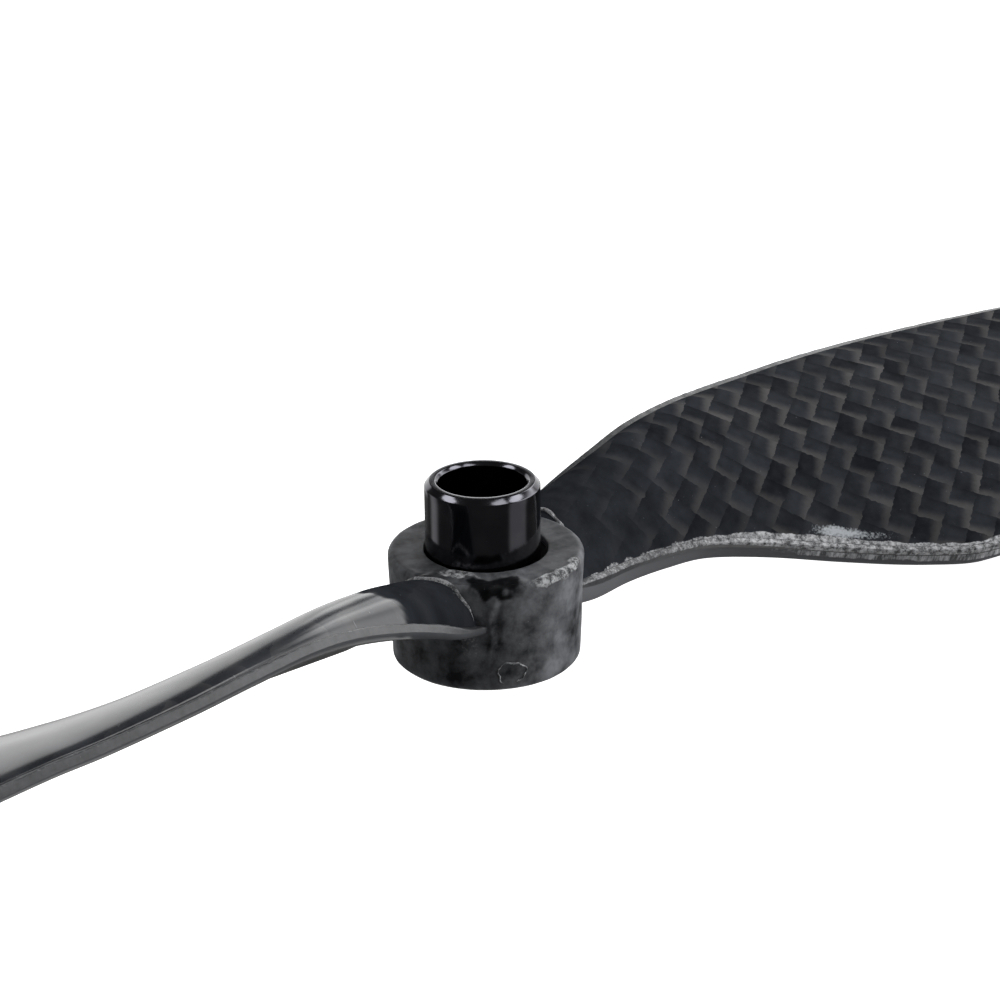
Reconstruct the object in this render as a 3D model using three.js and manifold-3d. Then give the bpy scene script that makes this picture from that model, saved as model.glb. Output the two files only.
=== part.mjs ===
// A two-blade moulded carbon-fibre propeller with a loose shaft adapter sleeve in its hub.
//
// Frame: +Z is the spin axis, with the hub's bottom face on Z = 0. The right blade runs along +X and
// the left blade is the same blade turned half a turn about Z. Seen from above the propeller turns
// anticlockwise, so the right blade's leading edge is on its +Y side and stands high.
import * as THREE from "three";
import { mergeVertices } from "three/addons/utils/BufferGeometryUtils.js";
import Module from "manifold-3d";

const wasm = await Module();
wasm.setup();

// ---------------------------------------------------------------- driving dimensions, in millimetres

const PROPELLER_RADIUS = 127;
const NOMINAL_PITCH = 101.6;

const HUB_TOP_RADIUS = 6.85;
const HUB_BOTTOM_RADIUS = 6.65;
const HUB_HEIGHT = 7.9;
const HUB_TOP_ROUND = 0.5;
const HUB_BOTTOM_ROUND = 0.3;
const HUB_PLY = 0.55;
const HOLE_RADIUS = 4.325;
const PARTING_HEIGHT = 4.6;

const SLEEVE_RADIUS = 4;
const SLEEVE_BORE_RADIUS = 3.05;
const SLEEVE_LENGTH = HUB_HEIGHT;
const SLEEVE_STANDS_OUT = 5;
const SLEEVE_OUTER_CHAMFER = 0.35;
const SLEEVE_BORE_CHAMFER = 0.2;
// The sleeve is loose in the hole and lies towards one side of it.
const SLEEVE_OFFSET = { x: -0.15, y: 0.13 };

const SKIN_THICKNESS = 0.24;
const EDGE_THICKNESS = 0.6;
const SEAM_WIDTH = 0.55;
// Where the chord narrows to the tip, a seam takes up at most this part of it.
const SEAM_LARGEST_SHARE = 0.15;
const SEAM_ROUNDING = 0.3;
const SEAM_THINNING = 0.2;
const JOINT_GAP = 0.1;
const BOND_GAP = 0.25;
// The spar and the core fill the space between the skins, over these parts of the chord.
const SPAR_FROM = 0.14;
const SPAR_TO = 0.4;
const CORE_FROM = 0.44;
const CORE_TO = 0.78;
const SPAR_END = 112;
const CORE_END = 95;
// The hub's windows for the spars are cut with a blank that ends here, well outside its wall.
const SPAR_WINDOW_END = 12;
// The outline is rounded off from here, to an end that would close this far outside the radius.
const TIP_ROUND_START = 114;
const TIP_BLUNTNESS = 0.5;

// The blade at each distance x from the spin axis: the height of the blade's axis, the chord ahead of
// and behind that axis, the pitch angle in degrees, and how far the two skins bulge from the parting
// surface. Outboard of the shoulder the pitch is that of a true helix.
const helix = (x) => THREE.MathUtils.radToDeg(Math.atan(NOMINAL_PITCH / (2 * Math.PI * x)));
const STATIONS = [
  { x: 3, axis: 4.6, lead: 4.9, trail: 4.2, pitch: 0, rise: 2.9, drop: 1.2 },
  { x: 6, axis: 4.6, lead: 5.45, trail: 3.5, pitch: 7, rise: 2.9, drop: 1.2 },
  { x: 9, axis: 4.6, lead: 6.25, trail: 2.95, pitch: 18.7, rise: 2.85, drop: 1.15 },
  { x: 12, axis: 4.55, lead: 7, trail: 2.5, pitch: 27, rise: 2.75, drop: 1.1 },
  { x: 16, axis: 4.6, lead: 7.95, trail: 2.6, pitch: 32.5, rise: 2.3, drop: 1.05 },
  { x: 20, axis: 4.6, lead: 9, trail: 3.1, pitch: 33.6, rise: 1.85, drop: 1 },
  { x: 25, axis: 4.7, lead: 9.85, trail: 5.2, pitch: 31, rise: 1.5, drop: 1 },
  { x: 30, axis: 4.8, lead: 10.35, trail: 8, pitch: 28, rise: 1.25, drop: 1.05 },
  { x: 36, axis: 5.15, lead: 10.55, trail: 11.9, pitch: helix(36), rise: 1, drop: 1.1 },
  { x: 40, axis: 5.45, lead: 10.6, trail: 14.1, pitch: helix(40), rise: 0.9, drop: 1.1 },
  { x: 50, axis: 5.6, lead: 10.8, trail: 15.4, pitch: helix(50), rise: 0.85, drop: 1 },
  { x: 62, axis: 5.7, lead: 10.3, trail: 14.3, pitch: helix(62), rise: 0.85, drop: 0.85 },
  { x: 76, axis: 5.7, lead: 9.1, trail: 11.6, pitch: helix(76), rise: 0.8, drop: 0.7 },
  { x: 92, axis: 5.7, lead: 7.6, trail: 8.6, pitch: helix(92), rise: 0.7, drop: 0.55 },
  { x: 108, axis: 5.7, lead: 6, trail: 6, pitch: helix(108), rise: 0.55, drop: 0.45 },
  { x: PROPELLER_RADIUS, axis: 5.7, lead: 4.2, trail: 4, pitch: helix(PROPELLER_RADIUS), rise: 0.4, drop: 0.3 },
];

// Where the blade's pieces are divided along the span, closer together at the root and the tip.
const SPAN_PLACES = [
  3, 5, 7, 9, 12, 15, 18, 22, 26, 30, 34, 38, 42, 48, 56, 66, 78, 90, 101, 110, 116, 120, 123.5, 125.7, 126.6,
  PROPELLER_RADIUS,
];
const SKIN_STEPS_ACROSS = 10;
const FILLING_STEPS_ACROSS = 5;
const SEAM_STEPS = 2;
const ROUND_SEGMENTS = 48;

// ---------------------------------------------------------------- the blade's surface

// A station's value at x, on a smooth curve through the stations.
function atStation(key, x) {
  const last = STATIONS.length - 2;
  const i = Math.min(last, Math.max(0, STATIONS.findIndex((s) => s.x >= x) - 1));
  const slope = (k) => {
    const before = STATIONS[Math.max(0, k - 1)];
    const after = STATIONS[Math.min(STATIONS.length - 1, k + 1)];
    return (after[key] - before[key]) / (after.x - before.x);
  };
  const [a, b] = [STATIONS[i], STATIONS[i + 1]];
  const width = b.x - a.x;
  const t = (x - a.x) / width;
  return (
    a[key] * (1 + 2 * t) * (1 - t) ** 2 +
    slope(i) * width * t * (1 - t) ** 2 +
    b[key] * t * t * (3 - 2 * t) +
    slope(i + 1) * width * t * t * (t - 1)
  );
}

// How much of the chord is left at x where the tip is rounded off.
function tipNarrowing(x) {
  const past = Math.max(0, x - TIP_ROUND_START) / (PROPELLER_RADIUS + TIP_BLUNTNESS - TIP_ROUND_START);
  return Math.sqrt(1 - past ** 2);
}

// How far the upper skin stands over the parting surface, as a part of its rise, from the leading edge
// at 0 to the trailing edge at 1. It is highest, at 1, a third of the way back.
const upperBulge = (s) => 1.5 * Math.sqrt(3 * s) * (1 - s);

// How far the lower skin hangs straight down under it, as a part of its drop. It is hollowed a little
// along its middle, and stands nearly upright where it turns up into both edges.
const lowerBulge = (s) => (0.4 + 0.9 * s - 2.1 * s * (1 - s)) * Math.sqrt(1 - (2 * s - 1) ** 20);

// The section of the blade at x: its chord, the skins' seams, and two functions for its outline.
function sectionAt(x) {
  const narrowing = tipNarrowing(x);
  const lead = atStation("lead", x) * narrowing;
  const chord = lead + atStation("trail", x) * narrowing;
  const seam = Math.min(SEAM_WIDTH, SEAM_LARGEST_SHARE * chord);
  const rise = atStation("rise", x) * narrowing;
  const drop = atStation("drop", x) * narrowing;
  const pitch = THREE.MathUtils.degToRad(atStation("pitch", x));
  // A point of the outer surface. The upper skin, side 1, ends behind the seams. The lower one, side
  // -1, reaches the blade's edges and turns up to the seams from below.
  const outer = (s, side) => {
    if (side > 0) {
      const inset = seam + JOINT_GAP;
      const height = EDGE_THICKNESS / 2 + rise * upperBulge(s);
      return new THREE.Vector2(inset + s * (chord - 2 * inset), height);
    }
    const hang = JOINT_GAP + drop * lowerBulge(s);
    const back = s * chord + hang * Math.sin(pitch);
    return new THREE.Vector2(back, -EDGE_THICKNESS / 2 - hang * Math.cos(pitch));
  };
  // A point that lies depth millimetres under the outer surface. The slope there is taken between two
  // points a little ahead of it and behind it.
  const under = (s, side, depth) => {
    const slopeStep = 0.004;
    const ahead = outer(Math.max(0, s - slopeStep), side);
    const behind = outer(Math.min(1, s + slopeStep), side);
    const along = behind.sub(ahead).normalize();
    return outer(s, side).add(new THREE.Vector2(along.y, -along.x).multiplyScalar(side * depth));
  };
  return { x, lead, chord, seam, pitch, axis: atStation("axis", x), under };
}

// Takes a point of a section, given by its distance back from the leading edge and its height over
// the parting surface, to its place on the right blade.
function onBlade({ x, axis, lead, pitch }, back, height) {
  const ahead = lead - back;
  return new THREE.Vector3(
    x,
    ahead * Math.cos(pitch) - height * Math.sin(pitch),
    axis + ahead * Math.sin(pitch) + height * Math.cos(pitch),
  );
}

// ---------------------------------------------------------------- helpers for solids

// Turns a closed geometry into a solid that can be cut.
function solidFrom(geometry) {
  const bare = geometry.clone();
  bare.deleteAttribute("normal");
  bare.deleteAttribute("uv");
  const merged = mergeVertices(bare, 1e-4);
  return new wasm.Manifold(
    new wasm.Mesh({
      numProp: 3,
      vertProperties: new Float32Array(merged.attributes.position.array),
      triVerts: new Uint32Array(merged.index.array),
    }),
  );
}

// Turns a solid back into a geometry with flat-shaded faces.
function geometryFrom(solid) {
  const mesh = solid.getMesh();
  const geometry = new THREE.BufferGeometry();
  geometry.setAttribute("position", new THREE.BufferAttribute(mesh.vertProperties, 3));
  geometry.setIndex(new THREE.BufferAttribute(mesh.triVerts, 1));
  const flat = geometry.toNonIndexed();
  flat.computeVertexNormals();
  return flat;
}

// Turns a closed outline of [radius, height] points about +Z.
function turned(outline) {
  const points = [...outline, outline[0]].map(([r, z]) => new THREE.Vector2(r, z));
  return new THREE.LatheGeometry(points, ROUND_SEGMENTS).rotateX(Math.PI / 2);
}

// Points of a quarter round from one angle to another, in degrees, about a centre.
function roundEdge(centreRadius, centreHeight, radius, fromDegrees, toDegrees, steps = 4) {
  return Array.from({ length: steps + 1 }, (_, i) => {
    const angle = THREE.MathUtils.degToRad(fromDegrees + ((toDegrees - fromDegrees) * i) / steps);
    return [centreRadius + radius * Math.cos(angle), centreHeight + radius * Math.sin(angle)];
  });
}

// Stretches a subdivided block along the blade. place(section, across, layer) gives each point of the
// block its distance back and height in the section, with across and layer running from 0 to 1.
function lofted(places, acrossSteps, layerSteps, place) {
  const spanSteps = places.length - 1;
  const block = new THREE.BoxGeometry(1, 1, 1, spanSteps, acrossSteps, layerSteps);
  const sections = places.map(sectionAt);
  const position = block.attributes.position;
  for (let i = 0; i < position.count; i += 1) {
    const section = sections[Math.round((position.getX(i) + 0.5) * spanSteps)];
    const [back, height] = place(section, position.getY(i) + 0.5, position.getZ(i) + 0.5);
    position.setXYZ(i, ...onBlade(section, back, height).toArray());
  }
  return block;
}

const placesUpTo = (end) => [...SPAN_PLACES.filter((x) => x < end), end];

// ---------------------------------------------------------------- the blade's pieces

// A post about the spin axis, taller than the blade's root, with which pieces are cut.
function cutter(radius) {
  const post = new THREE.CylinderGeometry(radius, radius, 3 * HUB_HEIGHT, ROUND_SEGMENTS);
  return solidFrom(post.rotateX(Math.PI / 2));
}

// The outside of the hub and of its core, grown by the joint gap: blade pieces stop there.
const hubEnvelope = cutter(HUB_TOP_RADIUS + JOINT_GAP);
const coreRadius = HUB_BOTTOM_RADIUS - HUB_PLY - JOINT_GAP;
const coreEnvelope = cutter(coreRadius + JOINT_GAP);

// Steps across a skin are closer together towards both edges, where it curves most.
const towardsEdges = (across) => (1 - Math.cos(Math.PI * across)) / 2;

function skin(side) {
  return lofted(SPAN_PLACES, SKIN_STEPS_ACROSS, 1, (section, across, layer) => {
    const depth = SKIN_THICKNESS * (side > 0 ? layer : 1 - layer);
    const point = section.under(towardsEdges(across), side, depth);
    // The lower skin's inner face stays clear of the seams.
    const height = side > 0 ? point.y : Math.min(point.y, -EDGE_THICKNESS / 2 - JOINT_GAP);
    return [point.x, height];
  });
}

// A filling between the skins, from one part of the chord to another. grow thickens it all round.
function filling(end, from, to, grow = 0) {
  const depth = SKIN_THICKNESS + BOND_GAP - grow;
  return lofted(placesUpTo(end), FILLING_STEPS_ACROSS, 1, (section, across, layer) => {
    const s = from + across * (to - from);
    const point = section.under(s, layer < 0.5 ? 1 : -1, depth);
    return [point.x + (across - 0.5) * 2 * grow, point.y];
  });
}

// The bead of resin along an edge: flat where it meets the skins and rounded outside.
function seam(edge) {
  return lofted(SPAN_PLACES, SEAM_STEPS, SEAM_STEPS, (section, across, layer) => {
    const outside = edge === "leading" ? 1 - across : across;
    const rounding = layer === 0.5 ? 0 : SEAM_ROUNDING;
    const fromJoint = outside * section.seam * (1 - rounding);
    const back = edge === "leading" ? section.seam - fromJoint : section.chord - section.seam + fromJoint;
    const height = (0.5 - layer) * EDGE_THICKNESS * (1 - SEAM_THINNING * outside);
    return [back, height];
  });
}

const trimmed = (geometry, envelope) => geometryFrom(solidFrom(geometry).subtract(envelope));

const BLADE_PIECES = {
  upper_skin: { geometry: trimmed(skin(1), hubEnvelope), finish: "weave" },
  lower_skin: { geometry: trimmed(skin(-1), hubEnvelope), finish: "weave" },
  spar: { geometry: trimmed(filling(SPAR_END, SPAR_FROM, SPAR_TO), coreEnvelope), finish: "spar" },
  core: { geometry: trimmed(filling(CORE_END, CORE_FROM, CORE_TO), hubEnvelope), finish: "core" },
  leading_seam: { geometry: trimmed(seam("leading"), hubEnvelope), finish: "resin" },
  trailing_seam: { geometry: trimmed(seam("trailing"), hubEnvelope), finish: "resin" },
};

// ---------------------------------------------------------------- the hub and the sleeve

// The hub's radius at a height: the wall is drafted so that the moulding leaves its mould.
function hubRadiusAt(z) {
  return THREE.MathUtils.lerp(HUB_BOTTOM_RADIUS, HUB_TOP_RADIUS, z / HUB_HEIGHT);
}

// Windows in the hub's wall, where the spars pass through to the core.
function sparWindows() {
  const window = solidFrom(filling(SPAR_WINDOW_END, SPAR_FROM, SPAR_TO, JOINT_GAP));
  return window.add(window.rotate([0, 0, 180]));
}

const hubUpperShell = [
  [HOLE_RADIUS, HUB_HEIGHT - HUB_PLY],
  [coreRadius + JOINT_GAP, HUB_HEIGHT - HUB_PLY],
  [coreRadius + JOINT_GAP, PARTING_HEIGHT + JOINT_GAP / 2],
  [hubRadiusAt(PARTING_HEIGHT), PARTING_HEIGHT + JOINT_GAP / 2],
  ...roundEdge(HUB_TOP_RADIUS - HUB_TOP_ROUND, HUB_HEIGHT - HUB_TOP_ROUND, HUB_TOP_ROUND, 0, 90),
  [HOLE_RADIUS, HUB_HEIGHT],
];
const hubLowerShell = [
  [HOLE_RADIUS, 0],
  ...roundEdge(HUB_BOTTOM_RADIUS - HUB_BOTTOM_ROUND, HUB_BOTTOM_ROUND, HUB_BOTTOM_ROUND, -90, 0, 3),
  [hubRadiusAt(PARTING_HEIGHT), PARTING_HEIGHT - JOINT_GAP / 2],
  [coreRadius + JOINT_GAP, PARTING_HEIGHT - JOINT_GAP / 2],
  [coreRadius + JOINT_GAP, HUB_PLY],
  [HOLE_RADIUS, HUB_PLY],
];
const hubCore = [
  [HOLE_RADIUS, HUB_PLY + JOINT_GAP],
  [coreRadius, HUB_PLY + JOINT_GAP],
  [coreRadius, HUB_HEIGHT - HUB_PLY - JOINT_GAP],
  [HOLE_RADIUS, HUB_HEIGHT - HUB_PLY - JOINT_GAP],
];
const sleeve = [
  [SLEEVE_BORE_RADIUS + SLEEVE_BORE_CHAMFER, 0],
  [SLEEVE_RADIUS - SLEEVE_OUTER_CHAMFER, 0],
  [SLEEVE_RADIUS, SLEEVE_OUTER_CHAMFER],
  [SLEEVE_RADIUS, SLEEVE_LENGTH - SLEEVE_OUTER_CHAMFER],
  [SLEEVE_RADIUS - SLEEVE_OUTER_CHAMFER, SLEEVE_LENGTH],
  [SLEEVE_BORE_RADIUS + SLEEVE_BORE_CHAMFER, SLEEVE_LENGTH],
  [SLEEVE_BORE_RADIUS, SLEEVE_LENGTH - SLEEVE_BORE_CHAMFER],
  [SLEEVE_BORE_RADIUS, SLEEVE_BORE_CHAMFER],
];

// ---------------------------------------------------------------- assembly

const FINISHES = {
  weave: { color: 0x2b2d30, roughness: 0.35, metalness: 0 },
  spar: { color: 0x1c1d1f, roughness: 0.6, metalness: 0 },
  core: { color: 0x4a4a48, roughness: 0.9, metalness: 0 },
  resin: { color: 0x5a5b5c, roughness: 0.55, metalness: 0 },
  hub: { color: 0x3c3c3e, roughness: 0.5, metalness: 0 },
  anodised: { color: 0x0b0b0c, roughness: 0.12, metalness: 0.9 },
};

function piece(name, geometry, finish) {
  const mesh = new THREE.Mesh(geometry, new THREE.MeshStandardMaterial(FINISHES[finish]));
  mesh.name = name;
  return mesh;
}

const propeller = new THREE.Group();

const windows = sparWindows();
propeller.add(piece("hub_upper_shell", trimmed(turned(hubUpperShell), windows), "hub"));
propeller.add(piece("hub_lower_shell", trimmed(turned(hubLowerShell), windows), "hub"));
propeller.add(piece("hub_core", turned(hubCore), "core"));

const adapter = piece("adapter_sleeve", turned(sleeve), "anodised");
adapter.position.set(SLEEVE_OFFSET.x, SLEEVE_OFFSET.y, HUB_HEIGHT + SLEEVE_STANDS_OUT - SLEEVE_LENGTH);
propeller.add(adapter);

for (const [side, turn] of [["right", 0], ["left", Math.PI]]) {
  const blade = new THREE.Group();
  blade.rotation.z = turn;
  for (const [name, { geometry, finish }] of Object.entries(BLADE_PIECES)) {
    blade.add(piece(`${side}_${name}`, geometry, finish));
  }
  propeller.add(blade);
}

export default propeller;
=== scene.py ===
"""The looks of a two-blade moulded carbon-fibre propeller with a loose shaft adapter sleeve.

Sizes are in millimetres here, and are turned to metres where a mesh is made. The frame is the CAD
part's own: +Z is the spin axis, the hub's bottom face is on Z = 0, the right blade runs along +X, and
the left blade is the same moulding turned half a turn about Z.
"""

from __future__ import annotations

import itertools
import logging
import math
from collections.abc import Callable, Mapping, Sequence
from dataclasses import dataclass
from enum import Enum

import bpy
import numpy as np
from mathutils import Matrix, Vector


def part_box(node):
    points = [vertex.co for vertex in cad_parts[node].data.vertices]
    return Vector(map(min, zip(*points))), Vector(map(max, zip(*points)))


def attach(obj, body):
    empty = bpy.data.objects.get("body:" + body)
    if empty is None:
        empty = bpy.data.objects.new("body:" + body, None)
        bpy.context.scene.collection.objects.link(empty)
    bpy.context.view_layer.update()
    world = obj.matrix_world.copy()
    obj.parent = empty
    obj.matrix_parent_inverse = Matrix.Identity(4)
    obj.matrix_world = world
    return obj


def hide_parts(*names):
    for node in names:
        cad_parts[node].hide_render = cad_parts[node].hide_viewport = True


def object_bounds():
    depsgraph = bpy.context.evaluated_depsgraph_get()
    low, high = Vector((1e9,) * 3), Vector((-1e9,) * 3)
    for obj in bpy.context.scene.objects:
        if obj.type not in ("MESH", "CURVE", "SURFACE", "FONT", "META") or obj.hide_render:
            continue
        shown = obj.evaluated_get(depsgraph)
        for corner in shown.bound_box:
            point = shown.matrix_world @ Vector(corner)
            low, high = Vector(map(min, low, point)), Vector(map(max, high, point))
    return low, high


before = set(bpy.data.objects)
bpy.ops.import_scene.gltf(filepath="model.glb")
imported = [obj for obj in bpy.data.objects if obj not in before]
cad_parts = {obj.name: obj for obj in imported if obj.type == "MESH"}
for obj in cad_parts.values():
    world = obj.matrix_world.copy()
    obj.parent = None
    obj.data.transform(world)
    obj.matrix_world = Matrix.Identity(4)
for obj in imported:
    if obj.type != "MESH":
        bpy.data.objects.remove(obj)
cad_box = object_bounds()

LOG = logging.getLogger("propeller")
MM = 0.001
BODY = "propeller"
SLEEVE_BODY = "sleeve"

Points = np.ndarray
Span = tuple[float, float]
Layers = tuple[tuple[float, float, int], ...]
Inputs = Mapping[int | str, object]
Tree = bpy.types.NodeTree
Socket = bpy.types.NodeSocket

# Settings that many nodes share.
COLOUR = {"output": 2, "data_type": "RGBA"}
SMOOTHLY = {"interpolation_type": "SMOOTHSTEP"}
DOT = {"operation": "DOT_PRODUCT"}


class Side(Enum):
    """The two blades, with the turn about Z that takes the right one to its place."""

    RIGHT = 0.0
    LEFT = math.pi


class Edge(Enum):
    """The two edges of a blade."""

    LEADING = "leading"
    TRAILING = "trailing"


# ------------------------------------------------------------------------------- small tools


def linear(colour: str) -> tuple[float, float, float, float]:
    """Turns an sRGB hex colour to linear light.

    Args:
        colour: the colour as "#rrggbb".

    Returns:
        Red, green, blue and an alpha of 1.
    """
    parts = [int(colour[i : i + 2], 16) / 255 for i in (1, 3, 5)]
    lit = [p / 12.92 if p <= 0.04045 else ((p + 0.055) / 1.055) ** 2.4 for p in parts]
    return (*lit, 1.0)


def smooth(low: float, high: float, value: Points) -> Points:
    """Rises smoothly from 0 where value is low to 1 where it is high.

    Args:
        low: the value that gives 0.
        high: the value that gives 1, which may be the smaller one.
        value: the values to read.

    Returns:
        An array like value.
    """
    t = np.clip((value - low) / (high - low), 0.0, 1.0)
    return t * t * (3 - 2 * t)


def rumple(points: Points, size: float, seed: int) -> Points:
    """Smooth random lumps, the same on each run.

    Args:
        points: places in millimetres, with x, y and z on the last axis.
        size: how far apart the lumps are.
        seed: picks one of many patterns.

    Returns:
        A value from -1 to 1 for each point.
    """
    heights = np.random.default_rng(seed).uniform(-1, 1, 4096)
    at = points / size
    low = np.floor(at).astype(np.int64)
    part = at - low
    part = part * part * (3 - 2 * part)
    total = np.zeros(points.shape[:-1])
    for corner in itertools.product((0, 1), repeat=3):
        cell = low + np.array(corner)
        mixed = (cell[..., 0] * 73856093) ^ (cell[..., 1] * 19349663) ^ (cell[..., 2] * 83492791)
        total += np.prod(np.where(corner, part, 1 - part), axis=-1) * heights[mixed % len(heights)]
    return total


def rumpled(points: Points, layers: Layers) -> Points:
    """Adds up layers of random lumps, each with its height, its size and the seed of its pattern."""
    return sum(height * rumple(points, size, seed) for height, size, seed in layers)


def turned_about_z(points: Points, angle: float) -> Points:
    """Turns points about the spin axis by an angle in radians."""
    c, s = math.cos(angle), math.sin(angle)
    return points @ np.array([[c, s, 0.0], [-s, c, 0.0], [0.0, 0.0, 1.0]])


def add_node(
    tree: Tree, kind: str, inputs: Inputs, output: int | str = 0, **settings: object
) -> Socket | None:
    """Adds one node with its settings, values and links.

    Args:
        tree: the node tree that takes it.
        kind: the node's type, without the word ShaderNode that each of them starts with.
        inputs: for each input, a value, or the output of another node to link to it.
        output: which output to give back.
        **settings: the node's own properties.

    Returns:
        The chosen output, or nothing for a node that has none.
    """
    node = tree.nodes.new("ShaderNode" + kind)
    for name, value in settings.items():
        setattr(node, name, value)
    for socket, source in inputs.items():
        if isinstance(source, Socket):
            tree.links.new(source, node.inputs[socket])
        else:
            node.inputs[socket].default_value = source
    return node.outputs[output] if len(node.outputs) else None


def limits(of: str, span: Span) -> Inputs:
    """The two inputs that hold a range, such as From Min and From Max."""
    return {f"{of} Min": span[0], f"{of} Max": span[1]}


def place_in_mm(tree: Tree) -> Socket:
    """Adds the nodes that give the place on the object, in millimetres."""
    place = add_node(tree, "TexCoord", {}, "Object")
    return add_node(tree, "VectorMath", {0: place, "Scale": 1 / MM}, operation="SCALE")


# ------------------------------------------------------------------------------- meshes


@dataclass
class Skin:
    """A closed surface: its corners in millimetres, its faces, and values painted on its corners."""

    points: Points
    faces: Points
    masks: dict[str, Points]

    def facing_out(self) -> Skin:
        """Turns the faces over if the surface is inside out."""
        a, b, c, d = (self.points[self.faces[:, i]] for i in range(4))
        volume = np.sum(np.cross(b, c) * a) + np.sum(np.cross(c, d) * a)
        if volume < 0:
            self.faces = self.faces[:, ::-1]
        return self


def joined(skins: Sequence[Skin]) -> Skin:
    """Puts several closed surfaces with the same masks together."""
    starts = np.cumsum([0, *(len(skin.points) for skin in skins)])
    faces = np.concatenate([skin.faces + start for skin, start in zip(skins, starts)])
    masks = {name: np.concatenate([skin.masks[name] for skin in skins]) for name in skins[0].masks}
    return Skin(np.concatenate([skin.points for skin in skins]), faces, masks)


def lofted(rings: Points, masks: Mapping[str, Points]) -> Skin:
    """Joins rings of points into a tube and closes its ends.

    A ring runs out along one side of a strip and back along the other, so an end is closed by faces
    between the points that lie across from each other.

    Args:
        rings: the points, as ring by place on the ring by x, y and z. A ring has an even count.
        masks: values for each point, as ring by place, or by x, y and z as well.

    Returns:
        The closed surface.
    """
    count, around = rings.shape[:2]
    index = np.arange(count * around).reshape(count, around)
    following = np.roll(index, -1, axis=1)
    walls = np.stack([index[:-1], following[:-1], following[1:], index[1:]], axis=-1).reshape(-1, 4)
    near = np.arange(around // 2 - 1)
    cap = np.stack([near, around - 1 - near, around - 2 - near, near + 1], axis=-1)
    faces = np.concatenate([walls, cap, (cap + (count - 1) * around)[:, ::-1]])
    painted = {name: value.reshape(count * around, -1) for name, value in masks.items()}
    return Skin(rings.reshape(-1, 3), faces, painted).facing_out()


@dataclass(frozen=True)
class RaisedLine:
    """A thin bead of resin: half its width, how far it stands out, and how pale it is worn."""

    width: float
    height: float
    worn: float

    def along(self, path: Points, outward: Points) -> Skin:
        """Lays the bead along a path, tapered to nothing at both ends.

        Args:
            path: the bead's middle line.
            outward: the surface's normal at each point of the path.

        Returns:
            The closed surface, with the masks sanded and rich.
        """
        beside = np.cross(np.gradient(path, axis=0), outward)
        beside /= np.linalg.norm(beside, axis=-1, keepdims=True)
        share = np.linspace(-1, 1, len(path))
        size = (1 - share**8) * (1 + 0.35 * rumple(path, 0.7, 51)) + 0.02
        turn = np.linspace(0, 2 * math.pi, 8, endpoint=False)
        out, aside = self.height * np.cos(turn)[:, None], self.width * np.sin(turn)[:, None]
        rings = path[:, None] + size[:, None, None] * (out * outward[:, None] + aside * beside[:, None])
        shape = rings.shape[:2]
        return lofted(rings, {"sanded": np.full(shape, self.worn), "rich_and_shaded": np.zeros(shape)})


def revolved(outline: Points, segments: int) -> tuple[Points, Points]:
    """Turns a closed outline of radius and height about the spin axis.

    Args:
        outline: the outline's points, as radius and height.
        segments: how many steps there are round the axis.

    Returns:
        The points, as step by outline point by x, y and z, and the faces between them.
    """
    angle = np.linspace(0, 2 * math.pi, segments, endpoint=False)[:, None]
    radius, height = outline[:, 0], outline[:, 1]
    across = radius * np.cos(angle), radius * np.sin(angle), np.broadcast_to(height, (segments, len(outline)))
    index = np.arange(segments * len(outline)).reshape(segments, -1)
    beside, after = np.roll(index, -1, axis=1), np.roll(index, -1, axis=0)
    faces = np.stack([index, after, np.roll(after, -1, axis=1), beside], axis=-1).reshape(-1, 4)
    return np.stack(across, axis=-1), faces


def quarter_round(centre: Span, radius: float, start: float, end: float, steps: int) -> list:
    """Points of an arc in an outline.

    Args:
        centre: the arc's centre, as radius from the axis and height.
        radius: the arc's own radius.
        start: where it starts, in degrees.
        end: where it ends, in degrees.
        steps: how many steps it takes.

    Returns:
        The points, as radius and height.
    """
    angles = np.radians(np.linspace(start, end, steps + 1))
    return [(centre[0] + radius * math.cos(a), centre[1] + radius * math.sin(a)) for a in angles]


def divided(outline: Sequence[Span], step: float) -> Points:
    """Divides the straight stretches of a closed outline into steps.

    Args:
        outline: the outline's corners.
        step: the longest step.

    Returns:
        The divided outline.
    """
    points = []
    for start, end in zip(outline, [*outline[1:], outline[0]]):
        count = max(1, math.ceil(math.dist(start, end) / step))
        points += [np.array(start) + (np.array(end) - start) * i / count for i in range(count)]
    return np.array(points)


def make_piece(name: str, skin: Skin, material: bpy.types.Material, sharp: float = 40.0) -> bpy.types.Object:
    """Makes a Blender object from a closed surface.

    Args:
        name: the piece's name.
        skin: the surface, in millimetres.
        material: what it is made of.
        sharp: the angle between faces, in degrees, from which their edge stays sharp.

    Returns:
        The object, in the scene.
    """
    mesh = bpy.data.meshes.new(name)
    mesh.from_pydata((skin.points * MM).tolist(), [], skin.faces.tolist())
    for mask, values in skin.masks.items():
        vector = values.shape[-1] == 3
        attribute = mesh.attributes.new(mask, "FLOAT_VECTOR" if vector else "FLOAT", "POINT")
        attribute.data.foreach_set("vector" if vector else "value", values.astype(np.float32).ravel())
    mesh.validate()
    mesh.shade_smooth()
    mesh.set_sharp_from_angle(angle=math.radians(sharp))
    mesh.materials.append(material)
    piece = bpy.data.objects.new(name, mesh)
    bpy.context.scene.collection.objects.link(piece)
    LOG.info("%s: %d faces", name, len(mesh.polygons))
    return piece


def place_piece(piece: bpy.types.Object, body: str, slot: str, *nodes: str) -> None:
    """Fixes a piece to its body and hides the CAD nodes that it stands for."""
    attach(piece, body)
    if nodes:
        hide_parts(*nodes)


# ------------------------------------------------------------------------------- finishes


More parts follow.
